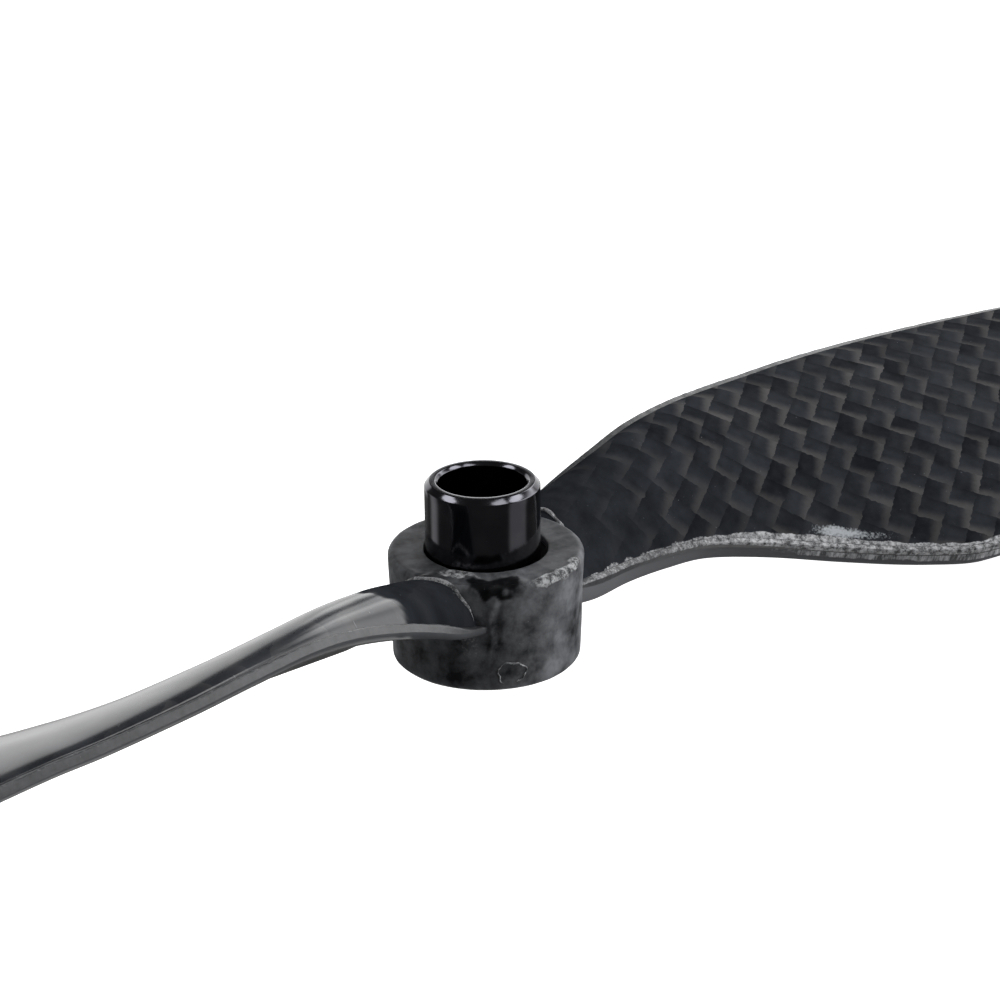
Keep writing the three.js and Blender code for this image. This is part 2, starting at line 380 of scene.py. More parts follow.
@dataclass(frozen=True, kw_only=True)
class Finish:
    """A finish, which makes a material from what its surface does with the light."""

    name: str

    def build(self) -> bpy.types.Material:
        """Makes the material.

        Returns:
            The material, with its surface shader and its output.
        """
        material = bpy.data.materials.new(self.name)
        material.use_nodes = True
        tree = material.node_tree
        tree.nodes.clear()
        shader = add_node(tree, "BsdfPrincipled", self.surface(tree))
        add_node(tree, "OutputMaterial", {"Surface": shader})
        return material

    def surface(self, tree: Tree) -> Inputs:
        """What the surface shader is given.

        Args:
            tree: the material's tree.

        Returns:
            The shader's values and links.
        """
        raise NotImplementedError


@dataclass(frozen=True, kw_only=True)
class Epoxy(Finish):
    """Moulded epoxy under a thin clear skin of its own, sanded in places.

    Sanding leaves chalky grey scratches and pits that scatter light, so trimmed edges show as rough
    pale bands.
    """

    dark: str
    pale: str
    sanded: str
    pit: str
    roughness: float
    sanded_roughness: float
    specular: float
    coat: float
    coat_roughness: float
    epoxy_ior: float = 1.54
    # Scratches and pits of about 0.1 mm are drawn at some 0.5 mm, so that they show.
    pit_scale: float = 1.9
    pit_span: Span = (0.4, 0.6)

    def chalk(self, tree: Tree, place: Socket) -> Socket:
        """The colour of sanded epoxy, pale with darker pits.

        Args:
            tree: the material's tree.
            place: the place on the surface, in millimetres.

        Returns:
            The colour.
        """
        grain = {"Vector": place, "Scale": self.pit_scale, "Detail": 4.0, "Roughness": 0.75}
        pits = add_node(tree, "TexNoise", grain, "Fac")
        pits = add_node(tree, "MapRange", {"Value": pits, **limits("From", self.pit_span)})
        return add_node(tree, "Mix", {0: pits, 6: linear(self.pit), 7: linear(self.sanded)}, **COLOUR)

    def skinned(self, colour: Socket, rough: Socket, normal: Socket, coat: Socket | float) -> Inputs:
        """What the shader is given for epoxy under its clear skin.

        Args:
            colour: the colour.
            rough: the roughness.
            normal: the surface's normal.
            coat: how much clear skin there is.

        Returns:
            The shader's values and links.
        """
        return {
            "Base Color": colour,
            "Roughness": rough,
            "IOR": self.epoxy_ior,
            "Specular IOR Level": self.specular,
            "Normal": normal,
            "Coat Weight": coat,
            "Coat Roughness": self.coat_roughness,
            "Coat IOR": self.epoxy_ior,
        }


@dataclass(frozen=True, kw_only=True)
class WovenCarbon(Epoxy):
    """Plain-woven 3K carbon cloth under a thin clear epoxy, moulded against a polished tool.

    Each tow lies flat and dark where it faces the light square on. Where it dips under its neighbour its
    glint is a painted highlight, so the eye sees pale stairs that run across the blade under a satin shine.
    """

    name: str = "plain_woven_carbon_in_moulded_epoxy"
    # The two sets of tows are some 2 mm apart, and were pushed a little out of square in the mould.
    # Each entry is the way across the tows that are crossed, in degrees from the span, and their pitch.
    tows: tuple[Span, ...] = ((56.9, 2.026), (141.9, 2.162))
    phase: tuple[float, float, float] = (-0.575, 0.012, 0.0)
    # The cloth shifts as it is pressed into the mould, over about 10 mm, and the tows' edges are frayed
    # over about 0.4 mm. Each entry is the noise's scale, and how far it shifts the cloth.
    shifts: tuple[Span, ...] = ((0.1, 0.45), (2.4, 0.16))
    dark: str = "#202226"
    pale: str = "#393c41"
    # The colour of the painted highlight where a tow glints.
    painted_glint: str = "#636161"
    milky: str = "#c4c9ce"
    sanded: str = "#d6d7da"
    pit: str = "#666769"
    moulded_lip: str = "#6b6c6f"
    roughness: float = 0.5
    milky_roughness: float = 0.5
    sanded_roughness: float = 0.7
    specular: float = 0.0
    coat: float = 0.8
    coat_roughness: float = 0.2
    # The painted glint covers this part of a tow's length, and a little more towards the middle of the
    # stairs.
    dip: Span = (0.6, 1.06)
    dip_lean: float = 0.16
    # How strong the painted glint is on the dullest and the brightest tow, and how much of it shows where it
    # is hidden.
    painted_glint_share: Span = (0.45, 0.95)
    least_seen: float = 0.04
    # The epoxy fills most of the relief, so a tow stands only 12 micrometres proud.
    tow_relief: float = 0.012
    sanded_relief: float = 0.12
    worn_span: Span = (0.85, 1.35)

    def surface(self, tree: Tree) -> Inputs:
        """What the surface shader is given, from the masks cloth, veiled, dry, milky, sanded and lip."""
        cloth = add_node(tree, "Attribute", {}, "Vector", attribute_name="cloth")
        veiled_and_glint_hidden = add_node(tree, "Attribute", {}, "Fac", attribute_name="veiled_and_glint_hidden")
        along, across, parity, cell = self._tows(tree, cloth)
        painted_glint = self._painted_glint(tree, cloth, veiled_and_glint_hidden, (along, across, parity, cell))
        colour = self._colour(tree, cloth, veiled_and_glint_hidden, (along, cell, painted_glint))
        colour, rough = self._flaws(tree, cloth, colour)
        normal = self._relief(tree, cloth, (along, across))
        # Where the cloth came out of the mould dry, there is no clear epoxy over it.
        dry = add_node(tree, "Attribute", {}, "Fac", attribute_name="dry")
        coat = add_node(tree, "MapRange", {"Value": dry, **limits("To", (self.coat, 0.0))})
        return self.skinned(colour, rough, normal, coat)

    def _tows(self, tree: Tree, cloth: Socket) -> tuple[Socket, Socket, Socket, Socket]:
        """Finds the place of each point on the tow that lies on top there.

        Args:
            tree: the material's tree.
            cloth: the place on the cloth, in millimetres.

        Returns:
            The place along and across the tow from 0 to 1, which of the two ways it runs, and its cell.
        """
        shifted = cloth
        for scale, reach in self.shifts:
            noise = add_node(tree, "TexNoise", {"Vector": cloth, "Scale": scale, "Detail": 1.5}, "Color")
            centred = add_node(tree, "VectorMath", {0: noise, 1: (0.5, 0.5, 0.5)}, operation="SUBTRACT")
            moved = {0: centred, 1: (2 * reach, 2 * reach, 0.0), 2: shifted}
            shifted = add_node(tree, "VectorMath", moved, operation="MULTIPLY_ADD")
        counts = []
        for angle, pitch in self.tows:
            way = math.cos(math.radians(angle)) / pitch, math.sin(math.radians(angle)) / pitch, 0.0
            counts.append(add_node(tree, "VectorMath", {0: shifted, 1: way}, "Value", **DOT))
        both = add_node(tree, "CombineXYZ", dict(enumerate(counts)))
        tows = add_node(tree, "VectorMath", {0: both, 1: self.phase}, operation="ADD")
        cell = add_node(tree, "VectorMath", {0: tows}, operation="FLOOR")
        part = add_node(tree, "VectorMath", {0: tows}, operation="FRACTION")
        total = add_node(tree, "VectorMath", {0: cell, 1: (1.0, 1.0, 0.0)}, "Value", **DOT)
        parity = add_node(tree, "Math", {0: total, 1: 2.0}, operation="FLOORED_MODULO")
        first, second, _ = add_node(tree, "SeparateXYZ", {0: part}).node.outputs
        along = add_node(tree, "Mix", {0: parity, 2: first, 3: second})
        across = add_node(tree, "Mix", {0: parity, 2: second, 3: first})
        return along, across, parity, cell

    def _painted_glint(self, tree: Tree, cloth: Socket, veiled_and_glint_hidden: Socket, tow: Sequence[Socket]) -> Socket:
        """How strong the painted glint on a tow is: most where it is about to dip, and on its side to the
        middle.

        Args:
            tree: the material's tree.
            cloth: the place on the cloth.
            veiled_and_glint_hidden: how much resin hides the cloth, and how much the painted glint is hidden.
            tow: the place along and across the tow, which way it runs, and its cell.

        Returns:
            A value from 0 to 1.
        """
        along, across, parity, cell = tow
        other = add_node(tree, "Math", {0: 1.0, 1: across}, operation="SUBTRACT")
        inner = add_node(tree, "Mix", {0: parity, 2: other, 3: across})
        leaning = add_node(tree, "Math", {0: inner, 1: self.dip_lean, 2: along}, operation="MULTIPLY_ADD")
        strength = add_node(tree, "MapRange", {"Value": leaning, **limits("From", self.dip)}, **SMOOTHLY)
        own = add_node(tree, "TexWhiteNoise", {"Vector": cell}, "Value", noise_dimensions="2D")
        share = add_node(tree, "MapRange", {"Value": own, **limits("To", self.painted_glint_share)})
        # Over 15 mm or so the painted glint grows and fades, as if the cloth turned to the light and away
        # from it.
        broad = add_node(tree, "TexNoise", {"Vector": cloth, "Scale": 0.09, "Detail": 3.0}, "Fac")
        turned = {"Value": broad, **limits("From", (0.36, 0.62)), **limits("To", (0.4, 1.0))}
        turn = add_node(tree, "MapRange", turned)
        clear = add_node(tree, "MapRange", {"Value": veiled_and_glint_hidden, **limits("To", (1.0, self.least_seen))})
        for factor in (share, turn, clear):
            strength = add_node(tree, "Math", {0: strength, 1: factor}, operation="MULTIPLY")
        return strength

    def _colour(self, tree: Tree, cloth: Socket, veiled_and_glint_hidden: Socket, tow: Sequence[Socket]) -> Socket:
        """The cloth's colour: each tow a little its own, with painted shade where it starts and a painted
        highlight where it glints.

        Args:
            tree: the material's tree.
            cloth: the place on the cloth.
            veiled_and_glint_hidden: how much resin hides the cloth, and how much the painted glint is hidden.
            tow: the place along the tow, its cell, and how strong its painted glint is.

        Returns:
            The colour.
        """
        along, cell, painted_glint = tow
        own = add_node(tree, "TexWhiteNoise", {"Vector": cell}, "Value", noise_dimensions="3D")
        own = add_node(tree, "Mix", {0: veiled_and_glint_hidden, 2: own, 3: 0.5})
        # Clouds in the resin, about 2 mm across.
        clouds = {"Vector": cloth, "Scale": 0.5, "Detail": 5.0, "Roughness": 0.6}
        cloud = add_node(tree, "TexNoise", clouds, "Fac")
        both = add_node(tree, "Math", {0: own, 1: 0.4, 2: cloud}, operation="MULTIPLY_ADD")
        tone = add_node(tree, "MapRange", {"Value": both, **limits("From", (0.42, 1.0))})
        # Painted shade: each tow is darker where it starts, on the side of its arch that faces away from the
        # light.
        rising = {"Value": along, **limits("From", (0.0, 0.25)), **limits("To", (0.7, 1.0))}
        start = add_node(tree, "MapRange", rising)
        start = add_node(tree, "Mix", {0: veiled_and_glint_hidden, 2: start, 3: 0.9})
        flat = add_node(tree, "Mix", {0: tone, 6: linear(self.dark), 7: linear(self.pale)}, **COLOUR)
        shaded = add_node(tree, "VectorMath", {0: flat, "Scale": start}, operation="SCALE")
        # The painted highlight, paler where the tow glints.
        return add_node(tree, "Mix", {0: painted_glint, 6: shaded, 7: linear(self.painted_glint)}, **COLOUR)

    def _flaws(self, tree: Tree, cloth: Socket, colour: Socket) -> tuple[Socket, Socket]:
        """Adds the plain lip, dust, the milky dry patch and the sanded margin.

        Args:
            tree: the material's tree.
            cloth: the place on the cloth.
            colour: the cloth's colour.

        Returns:
            The colour and the roughness.
        """
        lip = add_node(tree, "Attribute", {}, "Fac", attribute_name="lip")
        dust = add_node(tree, "TexNoise", {"Vector": cloth, "Scale": 3.6, "Detail": 2.0}, "Fac")
        specks = add_node(tree, "MapRange", {"Value": dust, **limits("From", (0.72, 0.84)), "To Max": 0.3})
        for share, paint in ((lip, self.moulded_lip), (specks, self.milky)):
            colour = add_node(tree, "Mix", {0: share, 6: colour, 7: linear(paint)}, **COLOUR)
        # Sanding grit of about 0.1 mm, drawn at 0.2 mm so that it shows.
        grit = add_node(tree, "TexNoise", {"Vector": cloth, "Scale": 5.0, "Detail": 4.0}, "Fac")
        rough = self.roughness
        for mask, finish, worn_roughness in (
            ("milky", linear(self.milky), self.milky_roughness),
            ("sanded", self.chalk(tree, cloth), self.sanded_roughness),
        ):
            value = add_node(tree, "Attribute", {}, "Fac", attribute_name=mask)
            broken = add_node(tree, "Math", {0: grit, 1: value}, operation="ADD")
            worn = add_node(tree, "MapRange", {"Value": broken, **limits("From", self.worn_span)}, **SMOOTHLY)
            colour = add_node(tree, "Mix", {0: worn, 6: colour, 7: finish}, **COLOUR)
            rough = add_node(tree, "Mix", {0: worn, 2: rough, 3: worn_roughness})
        return colour, rough

    def _relief(self, tree: Tree, cloth: Socket, tow: Sequence[Socket]) -> Socket:
        """The faint relief of the tows and of the sanding.

        Args:
            tree: the material's tree.
            cloth: the place on the cloth.
            tow: the place along and across the tow.

        Returns:
            The surface's normal.
        """
        arches = []
        for part in tow:
            turn = add_node(tree, "Math", {0: part, 1: math.pi}, operation="MULTIPLY")
            arches.append(add_node(tree, "Math", {0: turn}, operation="SINE"))
        height = add_node(tree, "Math", dict(enumerate(arches)), operation="MULTIPLY")
        raised = {"Strength": 0.5, "Distance": self.tow_relief * MM, "Height": height}
        woven = add_node(tree, "Bump", raised)
        grit = add_node(tree, "TexNoise", {"Vector": cloth, "Scale": 3.5, "Detail": 4.0}, "Fac")
        sanded = add_node(tree, "Attribute", {}, "Fac", attribute_name="sanded")
        height = add_node(tree, "Math", {0: grit, 1: sanded}, operation="MULTIPLY")
        scratched = {"Strength": 0.8, "Distance": self.sanded_relief * MM, "Height": height, "Normal": woven}
        return add_node(tree, "Bump", scratched)


@dataclass(frozen=True, kw_only=True)
class MouldedResin(Epoxy):
    """Carbon-filled epoxy with a satin moulded skin, sanded pale where the mask sanded says so.

    The moulded skin is dark and mottled, and it is black where resin is rich, in darker patches, and where
    shade is painted.
    """

    pit: str = "#4c4d4f"
    sanded_roughness: float = 0.75
    specular: float = 0.3
    coat: float = 0.15
    coat_roughness: float = 0.25
    # The black of resin-rich patches, also used for painted shade.
    resin_rich_and_shade: str = "#101113"
    # Fibre and resin mix in clouds of about 2 mm, and the grit's marks are drawn at 0.2 mm.
    mottle: float = 0.5
    mottle_span: Span = (0.32, 0.7)
    grit: float = 4.5
    worn_span: Span = (0.85, 1.4)
    relief: float = 0.02

    def surface(self, tree: Tree) -> Inputs:
        """What the surface shader is given, from the masks sanded and rich."""
        place = place_in_mm(tree)
        clouds = {"Vector": place, "Scale": self.mottle, "Detail": 5.0, "Roughness": 0.6}
        mottle = add_node(tree, "TexNoise", clouds, "Fac")
        marks = {"Vector": place, "Scale": self.grit, "Detail": 4.0, "Roughness": 0.7}
        grit = add_node(tree, "TexNoise", marks, "Fac")
        tone = add_node(tree, "MapRange", {"Value": mottle, **limits("From", self.mottle_span)})
        colour = add_node(tree, "Mix", {0: tone, 6: linear(self.dark), 7: linear(self.pale)}, **COLOUR)
        # Where resin is rich, in darker patches, and where shade is painted, the surface is black and shows
        # no fibre.
        rich_and_shaded = add_node(tree, "Attribute", {}, "Fac", attribute_name="rich_and_shaded")
        dust = add_node(tree, "MapRange", {"Value": grit, **limits("From", (0.66, 0.8)), "To Max": 0.35})
        mask = add_node(tree, "Attribute", {}, "Fac", attribute_name="sanded")
        broken = add_node(tree, "Math", {0: grit, 1: mask}, operation="ADD")
        worn = add_node(tree, "MapRange", {"Value": broken, **limits("From", self.worn_span)}, **SMOOTHLY)
        chalky = self.chalk(tree, place)
        for share, paint in ((rich_and_shaded, linear(self.resin_rich_and_shade)), (dust, linear(self.sanded)), (worn, chalky)):
            colour = add_node(tree, "Mix", {0: share, 6: colour, 7: paint}, **COLOUR)
        rough = add_node(tree, "Mix", {0: worn, 2: self.roughness, 3: self.sanded_roughness})
        height = add_node(tree, "Math", {0: grit, 1: worn}, operation="MULTIPLY")
        height = add_node(tree, "Math", {0: mottle, 1: 0.6, 2: height}, operation="MULTIPLY_ADD")
        normal = add_node(tree, "Bump", {"Strength": 0.7, "Distance": self.relief * MM, "Height": height})
        return self.skinned(colour, rough, normal, self.coat)


@dataclass(frozen=True, kw_only=True)
class AnodisedAluminium(Finish):
    """Turned aluminium, polished and anodised black.

    The dyed oxide is nearly mirror smooth: it stays black except where it shows a lamp or a bright
    card, and its turned rims catch the lamps as short white strokes.
    """

    name: str = "turned_and_black_anodised_aluminium"
    dyed: str = "#4c4c51"
    rubbed: str = "#5a5a5e"
    # The roughness where the oxide is untouched, and where handling dulled it.
    roughness: Span = (0.09, 0.2)
    # Turning marks are some 0.05 mm apart, and are drawn at 0.12 mm so that they show.
    turning_scale: float = 2.6
    turning_depth: float = 0.0015

    def surface(self, tree: Tree) -> Inputs:
        """What the surface shader is given, with the object's own coordinates, in mm."""
        place = place_in_mm(tree)
        handled = add_node(tree, "TexNoise", {"Vector": place, "Scale": 0.6, "Detail": 4.0}, "Fac")
        tone = add_node(tree, "MapRange", {"Value": handled, **limits("From", (0.45, 0.8))})
        colour = add_node(tree, "Mix", {0: tone, 6: linear(self.dyed), 7: linear(self.rubbed)}, **COLOUR)
        dulled = {"Value": handled, **limits("From", (0.3, 0.8)), **limits("To", self.roughness)}
        rough = add_node(tree, "MapRange", dulled)
        uneven = add_node(tree, "TexNoise", {"Vector": place, "Scale": 1.0, "Detail": 0.0}, "Fac")
        marks = {"Vector": place, "Scale": self.turning_scale, "Distortion": 0.4}
        lines = add_node(tree, "TexWave", marks, "Fac", bands_direction="Z")
        height = add_node(tree, "Math", {0: lines, 1: uneven}, operation="MULTIPLY")
        turned = {"Strength": 0.15, "Distance": self.turning_depth * MM, "Height": height}
        normal = add_node(tree, "Bump", turned)
        return {"Base Color": colour, "Metallic": 1.0, "Roughness": rough, "Normal": normal}


@dataclass(frozen=True, kw_only=True)
class PaleFloor(Finish):
    """A matt painted floor, lit so evenly that it glows white and nothing casts a shadow on it."""

    name: str = "matt_painted_floor"
    dull: str = "#f4f4f4"
    bright: str = "#ffffff"
    roughness: float = 0.9

    def surface(self, tree: Tree) -> Inputs:
        """What the surface shader is given."""
        grain = add_node(tree, "TexNoise", {"Scale": 3.0, "Detail": 2.0}, "Fac")
        colour = add_node(tree, "Mix", {0: grain, 6: linear(self.dull), 7: linear(self.bright)}, **COLOUR)
        lit = {"Emission Color": (1, 1, 1, 1), "Emission Strength": 1.0}
        return {"Base Color": colour, "Roughness": self.roughness, **lit}


HUB_LAMINATE = MouldedResin(
    name="satin_moulded_hub_laminate",
    dark="#222326",
    pale="#85878b",
    sanded="#c8cacc",
    roughness=0.5,
    relief=0.08,
    specular=0.08,
    coat=0.02,
)
SEAM_RESIN = MouldedResin(
    name="sanded_seam_resin",
    dark="#3b3c3e",
    pale="#505154",
    sanded="#d6d7da",
    roughness=0.42,
    mottle=1.2,
    relief=0.1,
)
CORE_FILLER = MouldedResin(
    name="chopped_fibre_and_resin_filler",
    dark="#2e2e2d",
    pale="#4a4a48",
    sanded="#5c5c5a",
    roughness=0.85,
    coat=0.0,
)
SPAR_TOW = MouldedResin(
    name="unidirectional_carbon_tow_in_epoxy",
    dark="#151618",
    pale="#232427",
    sanded="#3a3b3d",
    roughness=0.6,
    coat=0.0,
)


# ------------------------------------------------------------------------------- the blade's shape


@dataclass(frozen=True)
class Station:
    """The blade at one distance from the spin axis. Pitch is in degrees."""

    x: float
    axis: float
    lead: float
    trail: float
    pitch: float
    rise: float
    drop: float


RADIUS = 127.0
PITCH_PER_TURN = 101.6


def helix(x: float) -> float:
    """The pitch angle, in degrees, of a true helix at x."""
    return math.degrees(math.atan(PITCH_PER_TURN / (2 * math.pi * x)))


STATIONS = (
    Station(3, 4.6, 4.9, 4.2, 0, 2.9, 1.2),
    Station(6, 4.6, 5.45, 3.5, 7, 2.9, 1.2),
    Station(9, 4.6, 6.25, 2.95, 18.7, 2.85, 1.15),
    Station(12, 4.55, 7, 2.5, 27, 2.75, 1.1),
    Station(16, 4.6, 7.95, 2.6, 32.5, 2.3, 1.05),
    Station(20, 4.6, 9, 3.1, 33.6, 1.85, 1),
    Station(25, 4.7, 9.85, 5.2, 31, 1.5, 1),
    Station(30, 4.8, 10.35, 8, 28, 1.25, 1.05),
    Station(36, 5.15, 10.55, 11.9, helix(36), 1, 1.1),
    Station(40, 5.45, 10.6, 14.1, helix(40), 0.9, 1.1),
    Station(50, 5.6, 10.8, 15.4, helix(50), 0.85, 1),
    Station(62, 5.7, 10.3, 14.3, helix(62), 0.85, 0.85),
    Station(76, 5.7, 9.1, 11.6, helix(76), 0.8, 0.7),
    Station(92, 5.7, 7.6, 8.6, helix(92), 0.7, 0.55),
    Station(108, 5.7, 6, 6, helix(108), 0.55, 0.45),
    Station(RADIUS, 5.7, 4.2, 4, helix(RADIUS), 0.4, 0.3),
)


# How much shallower, as a part of its depth, each blade's lower skin was trimmed near the root.
TRIMMED_ROOT = {Side.RIGHT: 0.0, Side.LEFT: 0.97}


@dataclass(frozen=True)
class BladeShape:
    """The right blade's surface, as distances back from the leading edge and over the parting surface."""

    stations: tuple[Station, ...] = STATIONS
    tip_round_start: float = 114.0
    tip_bluntness: float = 0.05
    seam_width: float = 0.55
    seam_largest_share: float = 0.15
    edge_half_thickness: float = 0.3
    root_edge_share: float = 0.25
    lip: float = 0.1
    overlap: float = 0.05
    thickness: float = 0.24
    trimmed_root: float = 0.0

    def at(self, key: str, x: Points) -> Points:
        """A value on a smooth curve through the stations.

        Args:
            key: the station's field.
            x: the distances from the spin axis.

        Returns:
            The value at each x.
        """
        places = np.array([s.x for s in self.stations], float)
        values = np.array([getattr(s, key) for s in self.stations], float)
        before = np.maximum(np.arange(len(places)) - 1, 0)
        after = np.minimum(np.arange(len(places)) + 1, len(places) - 1)
        slope = (values[after] - values[before]) / (places[after] - places[before])
        i = np.clip(np.searchsorted(places, x, side="left") - 1, 0, len(places) - 2)
        width = places[i + 1] - places[i]
        t = (x - places[i]) / width
        return (
            values[i] * (1 + 2 * t) * (1 - t) ** 2
            + slope[i] * width * t * (1 - t) ** 2
            + values[i + 1] * t * t * (3 - 2 * t)
            + slope[i + 1] * width * t * t * (t - 1)
        )

    def narrowing(self, x: Points) -> Points:
        """How much of the chord is left at x where the tip is rounded off."""
        past = np.maximum(0, x - self.tip_round_start) / (RADIUS + self.tip_bluntness - self.tip_round_start)
        return np.sqrt(1 - past**2)

    def lead(self, x: Points) -> Points:
        """The chord ahead of the blade's axis."""
        return self.at("lead", x) * self.narrowing(x)

    def chord(self, x: Points) -> Points:
        """The whole chord."""
        return self.lead(x) + self.at("trail", x) * self.narrowing(x)

    def seam(self, x: Points) -> Points:
        """The width of the seams along both edges."""
        return np.minimum(self.seam_width, self.seam_largest_share * self.chord(x))

    def half_edge(self, x: Points) -> Points:
        """Half the thickness of both edges, which run out to a thin wedge at the hub."""
        share = self.root_edge_share
        return self.edge_half_thickness * (share + (1 - share) * smooth(4.6, 8.5, x))

    def upper(self, x: Points, s: Points) -> tuple[Points, Points]:
        """The upper skin's outside.

        Args:
            x: the distance from the spin axis.
            s: the place from the leading edge at 0 to the trailing edge at 1.

        Returns:
            The distance back and the height.
        """
        inset = self.seam(x) - self.overlap
        rise = self.at("rise", x) * self.narrowing(x)
        bulge = 1.5 * np.sqrt(3 * s) * (1 - s)
        return inset + s * (self.chord(x) - 2 * inset), self.half_edge(x) + rise * bulge

    def lower(self, x: Points, s: Points) -> tuple[Points, Points]:
        """The lower skin's outside, which hangs straight down and turns up into both edges.

        Args:
            x: the distance from the spin axis.
            s: the place from the leading edge at 0 to the trailing edge at 1.

        Returns:
            The distance back and the height.
        """
        drop = self.at("drop", x) * self.narrowing(x)
        hollow = 0.4 + 0.9 * s - 2.1 * s * (1 - s)
        trimmed = 1 - self.trimmed_root * smooth(38, 26, x) * smooth(0.1, 0.6, s)
        hang = (self.lip + drop * hollow) * np.sqrt(1 - (2 * s - 1) ** 20) * trimmed
        pitch = np.radians(self.at("pitch", x))
        return s * self.chord(x) + hang * np.sin(pitch), -self.half_edge(x) - hang * np.cos(pitch)

    def inside(self, x: Points, s: Points, upper: bool) -> tuple[Points, Points]:
        """A skin's inner face, which closes on the parting surface at the tip.

        Args:
            x: the distance from the spin axis.
            s: the place from the leading edge at 0 to the trailing edge at 1.
            upper: whether it is the upper skin.

        Returns:
            The distance back and the height.
        """
        outside = self.upper if upper else self.lower
        side = 1 if upper else -1
        back, height = outside(x, s)
        step = 0.004
        ahead, behind = outside(x, np.maximum(0, s - step)), outside(x, np.minimum(1, s + step))
        run, climb = behind[0] - ahead[0], behind[1] - ahead[1]
        length = np.hypot(run, climb)
        depth = self.thickness * np.minimum(1, 1.5 * self.narrowing(x))
        back, height = back + side * depth * climb / length, height - side * depth * run / length
        closing = smooth(RADIUS - 1.5, RADIUS, x)
        least = 0.01
        return back, side * np.maximum(least, side * height * (1 - closing) + least * closing)

    def place(self, x: Points, back: Points, height: Points) -> Points:
        """Takes distances in a section to places on the right blade.

        Args:
            x: the distance from the spin axis.
            back: the distance back from the leading edge.
            height: the height over the parting surface.

        Returns:
            The points, with x, y and z on the last axis.
        """
        pitch = np.radians(self.at("pitch", x))
        ahead = self.lead(x) - back
        y = ahead * np.cos(pitch) - height * np.sin(pitch)
        z = self.at("axis", x) + ahead * np.sin(pitch) + height * np.cos(pitch)
        return np.stack(np.broadcast_arrays(x, y, z), axis=-1)


def span_shares() -> Points:
    """How far along a line from the hub to the tip each section lies, closer at both ends."""
    root, shoulder, tip = 6.5, 45.0, 114.0
    near = np.arange(root, shoulder, 0.3)
    middle = np.linspace(shoulder, tip, 70, endpoint=False)
    end = tip + (RADIUS - tip) * np.sin(np.linspace(0, math.pi / 2, 28))
    return (np.concatenate([near, middle, end]) - root) / (RADIUS - root)


def lines_from_hub(point: Callable[[Points], Points], count: int, radius: float) -> Points:
    """Where the sections of each lengthwise line lie, if the lines start at the hub's wall.

    Args:
        point: gives the points of all the lines at the distances x.
        count: how many lines there are.
        radius: the radius on which they start.

    Returns:
        The distances x, as section by line.
    """
    tries = np.linspace(3, 9, 121)
    reach = np.linalg.norm(point(np.repeat(tries[:, None], count, axis=1))[..., :2], axis=-1)
    first = np.argmax(reach > radius, axis=0)
    before = np.maximum(first - 1, 0)
    lines = np.arange(count)
    gap = np.maximum(reach[first, lines] - reach[before, lines], 1e-9)
    share = np.clip((radius - reach[before, lines]) / gap, 0, 1)
    start = tries[before] + (tries[first] - tries[before]) * share
    return start + (RADIUS - start) * span_shares()[:, None]


@dataclass(frozen=True)
class BladeWear:
    """How one blade came out of its mould and was trimmed, in millimetres from the spin axis.

    A pair of places is a stretch over which something sets in. It is complete at the second one.
    """

    # Resin blurs the cloth towards the root. Over a longer stretch the weave's painted glint and painted
    # shade are hidden, on a blade whose cloth does not glint in this light.
    blurred: Span = (29, 9)
    blur: float = 1.0
    veiled_and_glint_hidden: Span = (95, 60)
    glint_hidden: float = 0.72
    # The clear skin ends over this stretch, with a torn edge, and is missing from there to the hub.
    # Outboard it may be thin too.
    dry: Span = (13.1, 12.7)
    dry_torn: float = 1.3
    dry_uneven: float = 0.8
    dry_outboard: float = 0.0
    # A patch near the trailing edge stayed milky: its place along the span and in from the edge, and
    # its half-length and half-width.
    milky: float = 0.0
    milky_at: Span = (30.8, 1.05)
    milky_reach: Span = (3.4, 0.9)
    # The sanded margin of the upper skin: its width at the root, and how it widens and narrows again.
    margin: float = 0.05
    wider: float = 0.45
    widens: Span = (18, 26)
    narrower: float = 0.25
    narrows: Span = (30, 36)
    # How strongly it is sanded at the root, and the stretch over which that grows to full strength.
    root_wear: float = 0.66
    worn: Span = (15, 25)
    # The lower skin's plain lip, a plain stretch by the root, and the lip's sanded top outboard.
    lip: float = 1.0
    lip_width: Span = (1.2, 0.9)
    plain_share: float = 0.0
    plain: Span = (44, 32)
    lip_sanded: Span = (20, 32)
    lip_sanded_depth: Span = (0.5, 0.3)


# The left blade's painted glint and painted shade are hidden over a long stretch; the right blade's show.
BLADE_WEAR: dict[Side, BladeWear] = {
    Side.RIGHT: BladeWear(
        blur=0.97, glint_hidden=0.0, dry=(33, 22), dry_torn=3.0, dry_uneven=0.0, dry_outboard=0.985, milky=0.85
    ),
    Side.LEFT: BladeWear(lip=0.5, plain_share=1.0),
}


@dataclass(frozen=True)
class BeadWear:
    """How far an edge's bead is sanded on its top, from the root outwards, and on its upright face."""

    root: float
    outboard: float
    face: float
    # How far down the face the top's sanding ran outboard, as a part of half the edge's thickness.
    down_face: float
    # The stretches over which the wear grows outboard, and over which the sanding runs down the face.
    worn: Span = (15, 25)
    runs_down: Span = (17, 30)


BEAD_WEAR: dict[Edge, BeadWear] = {
    Edge.LEADING: BeadWear(root=0.4, outboard=0.4, face=0.25, down_face=0.0),
    Edge.TRAILING: BeadWear(root=0.66, outboard=1.0, face=0.1, down_face=1.25),
}


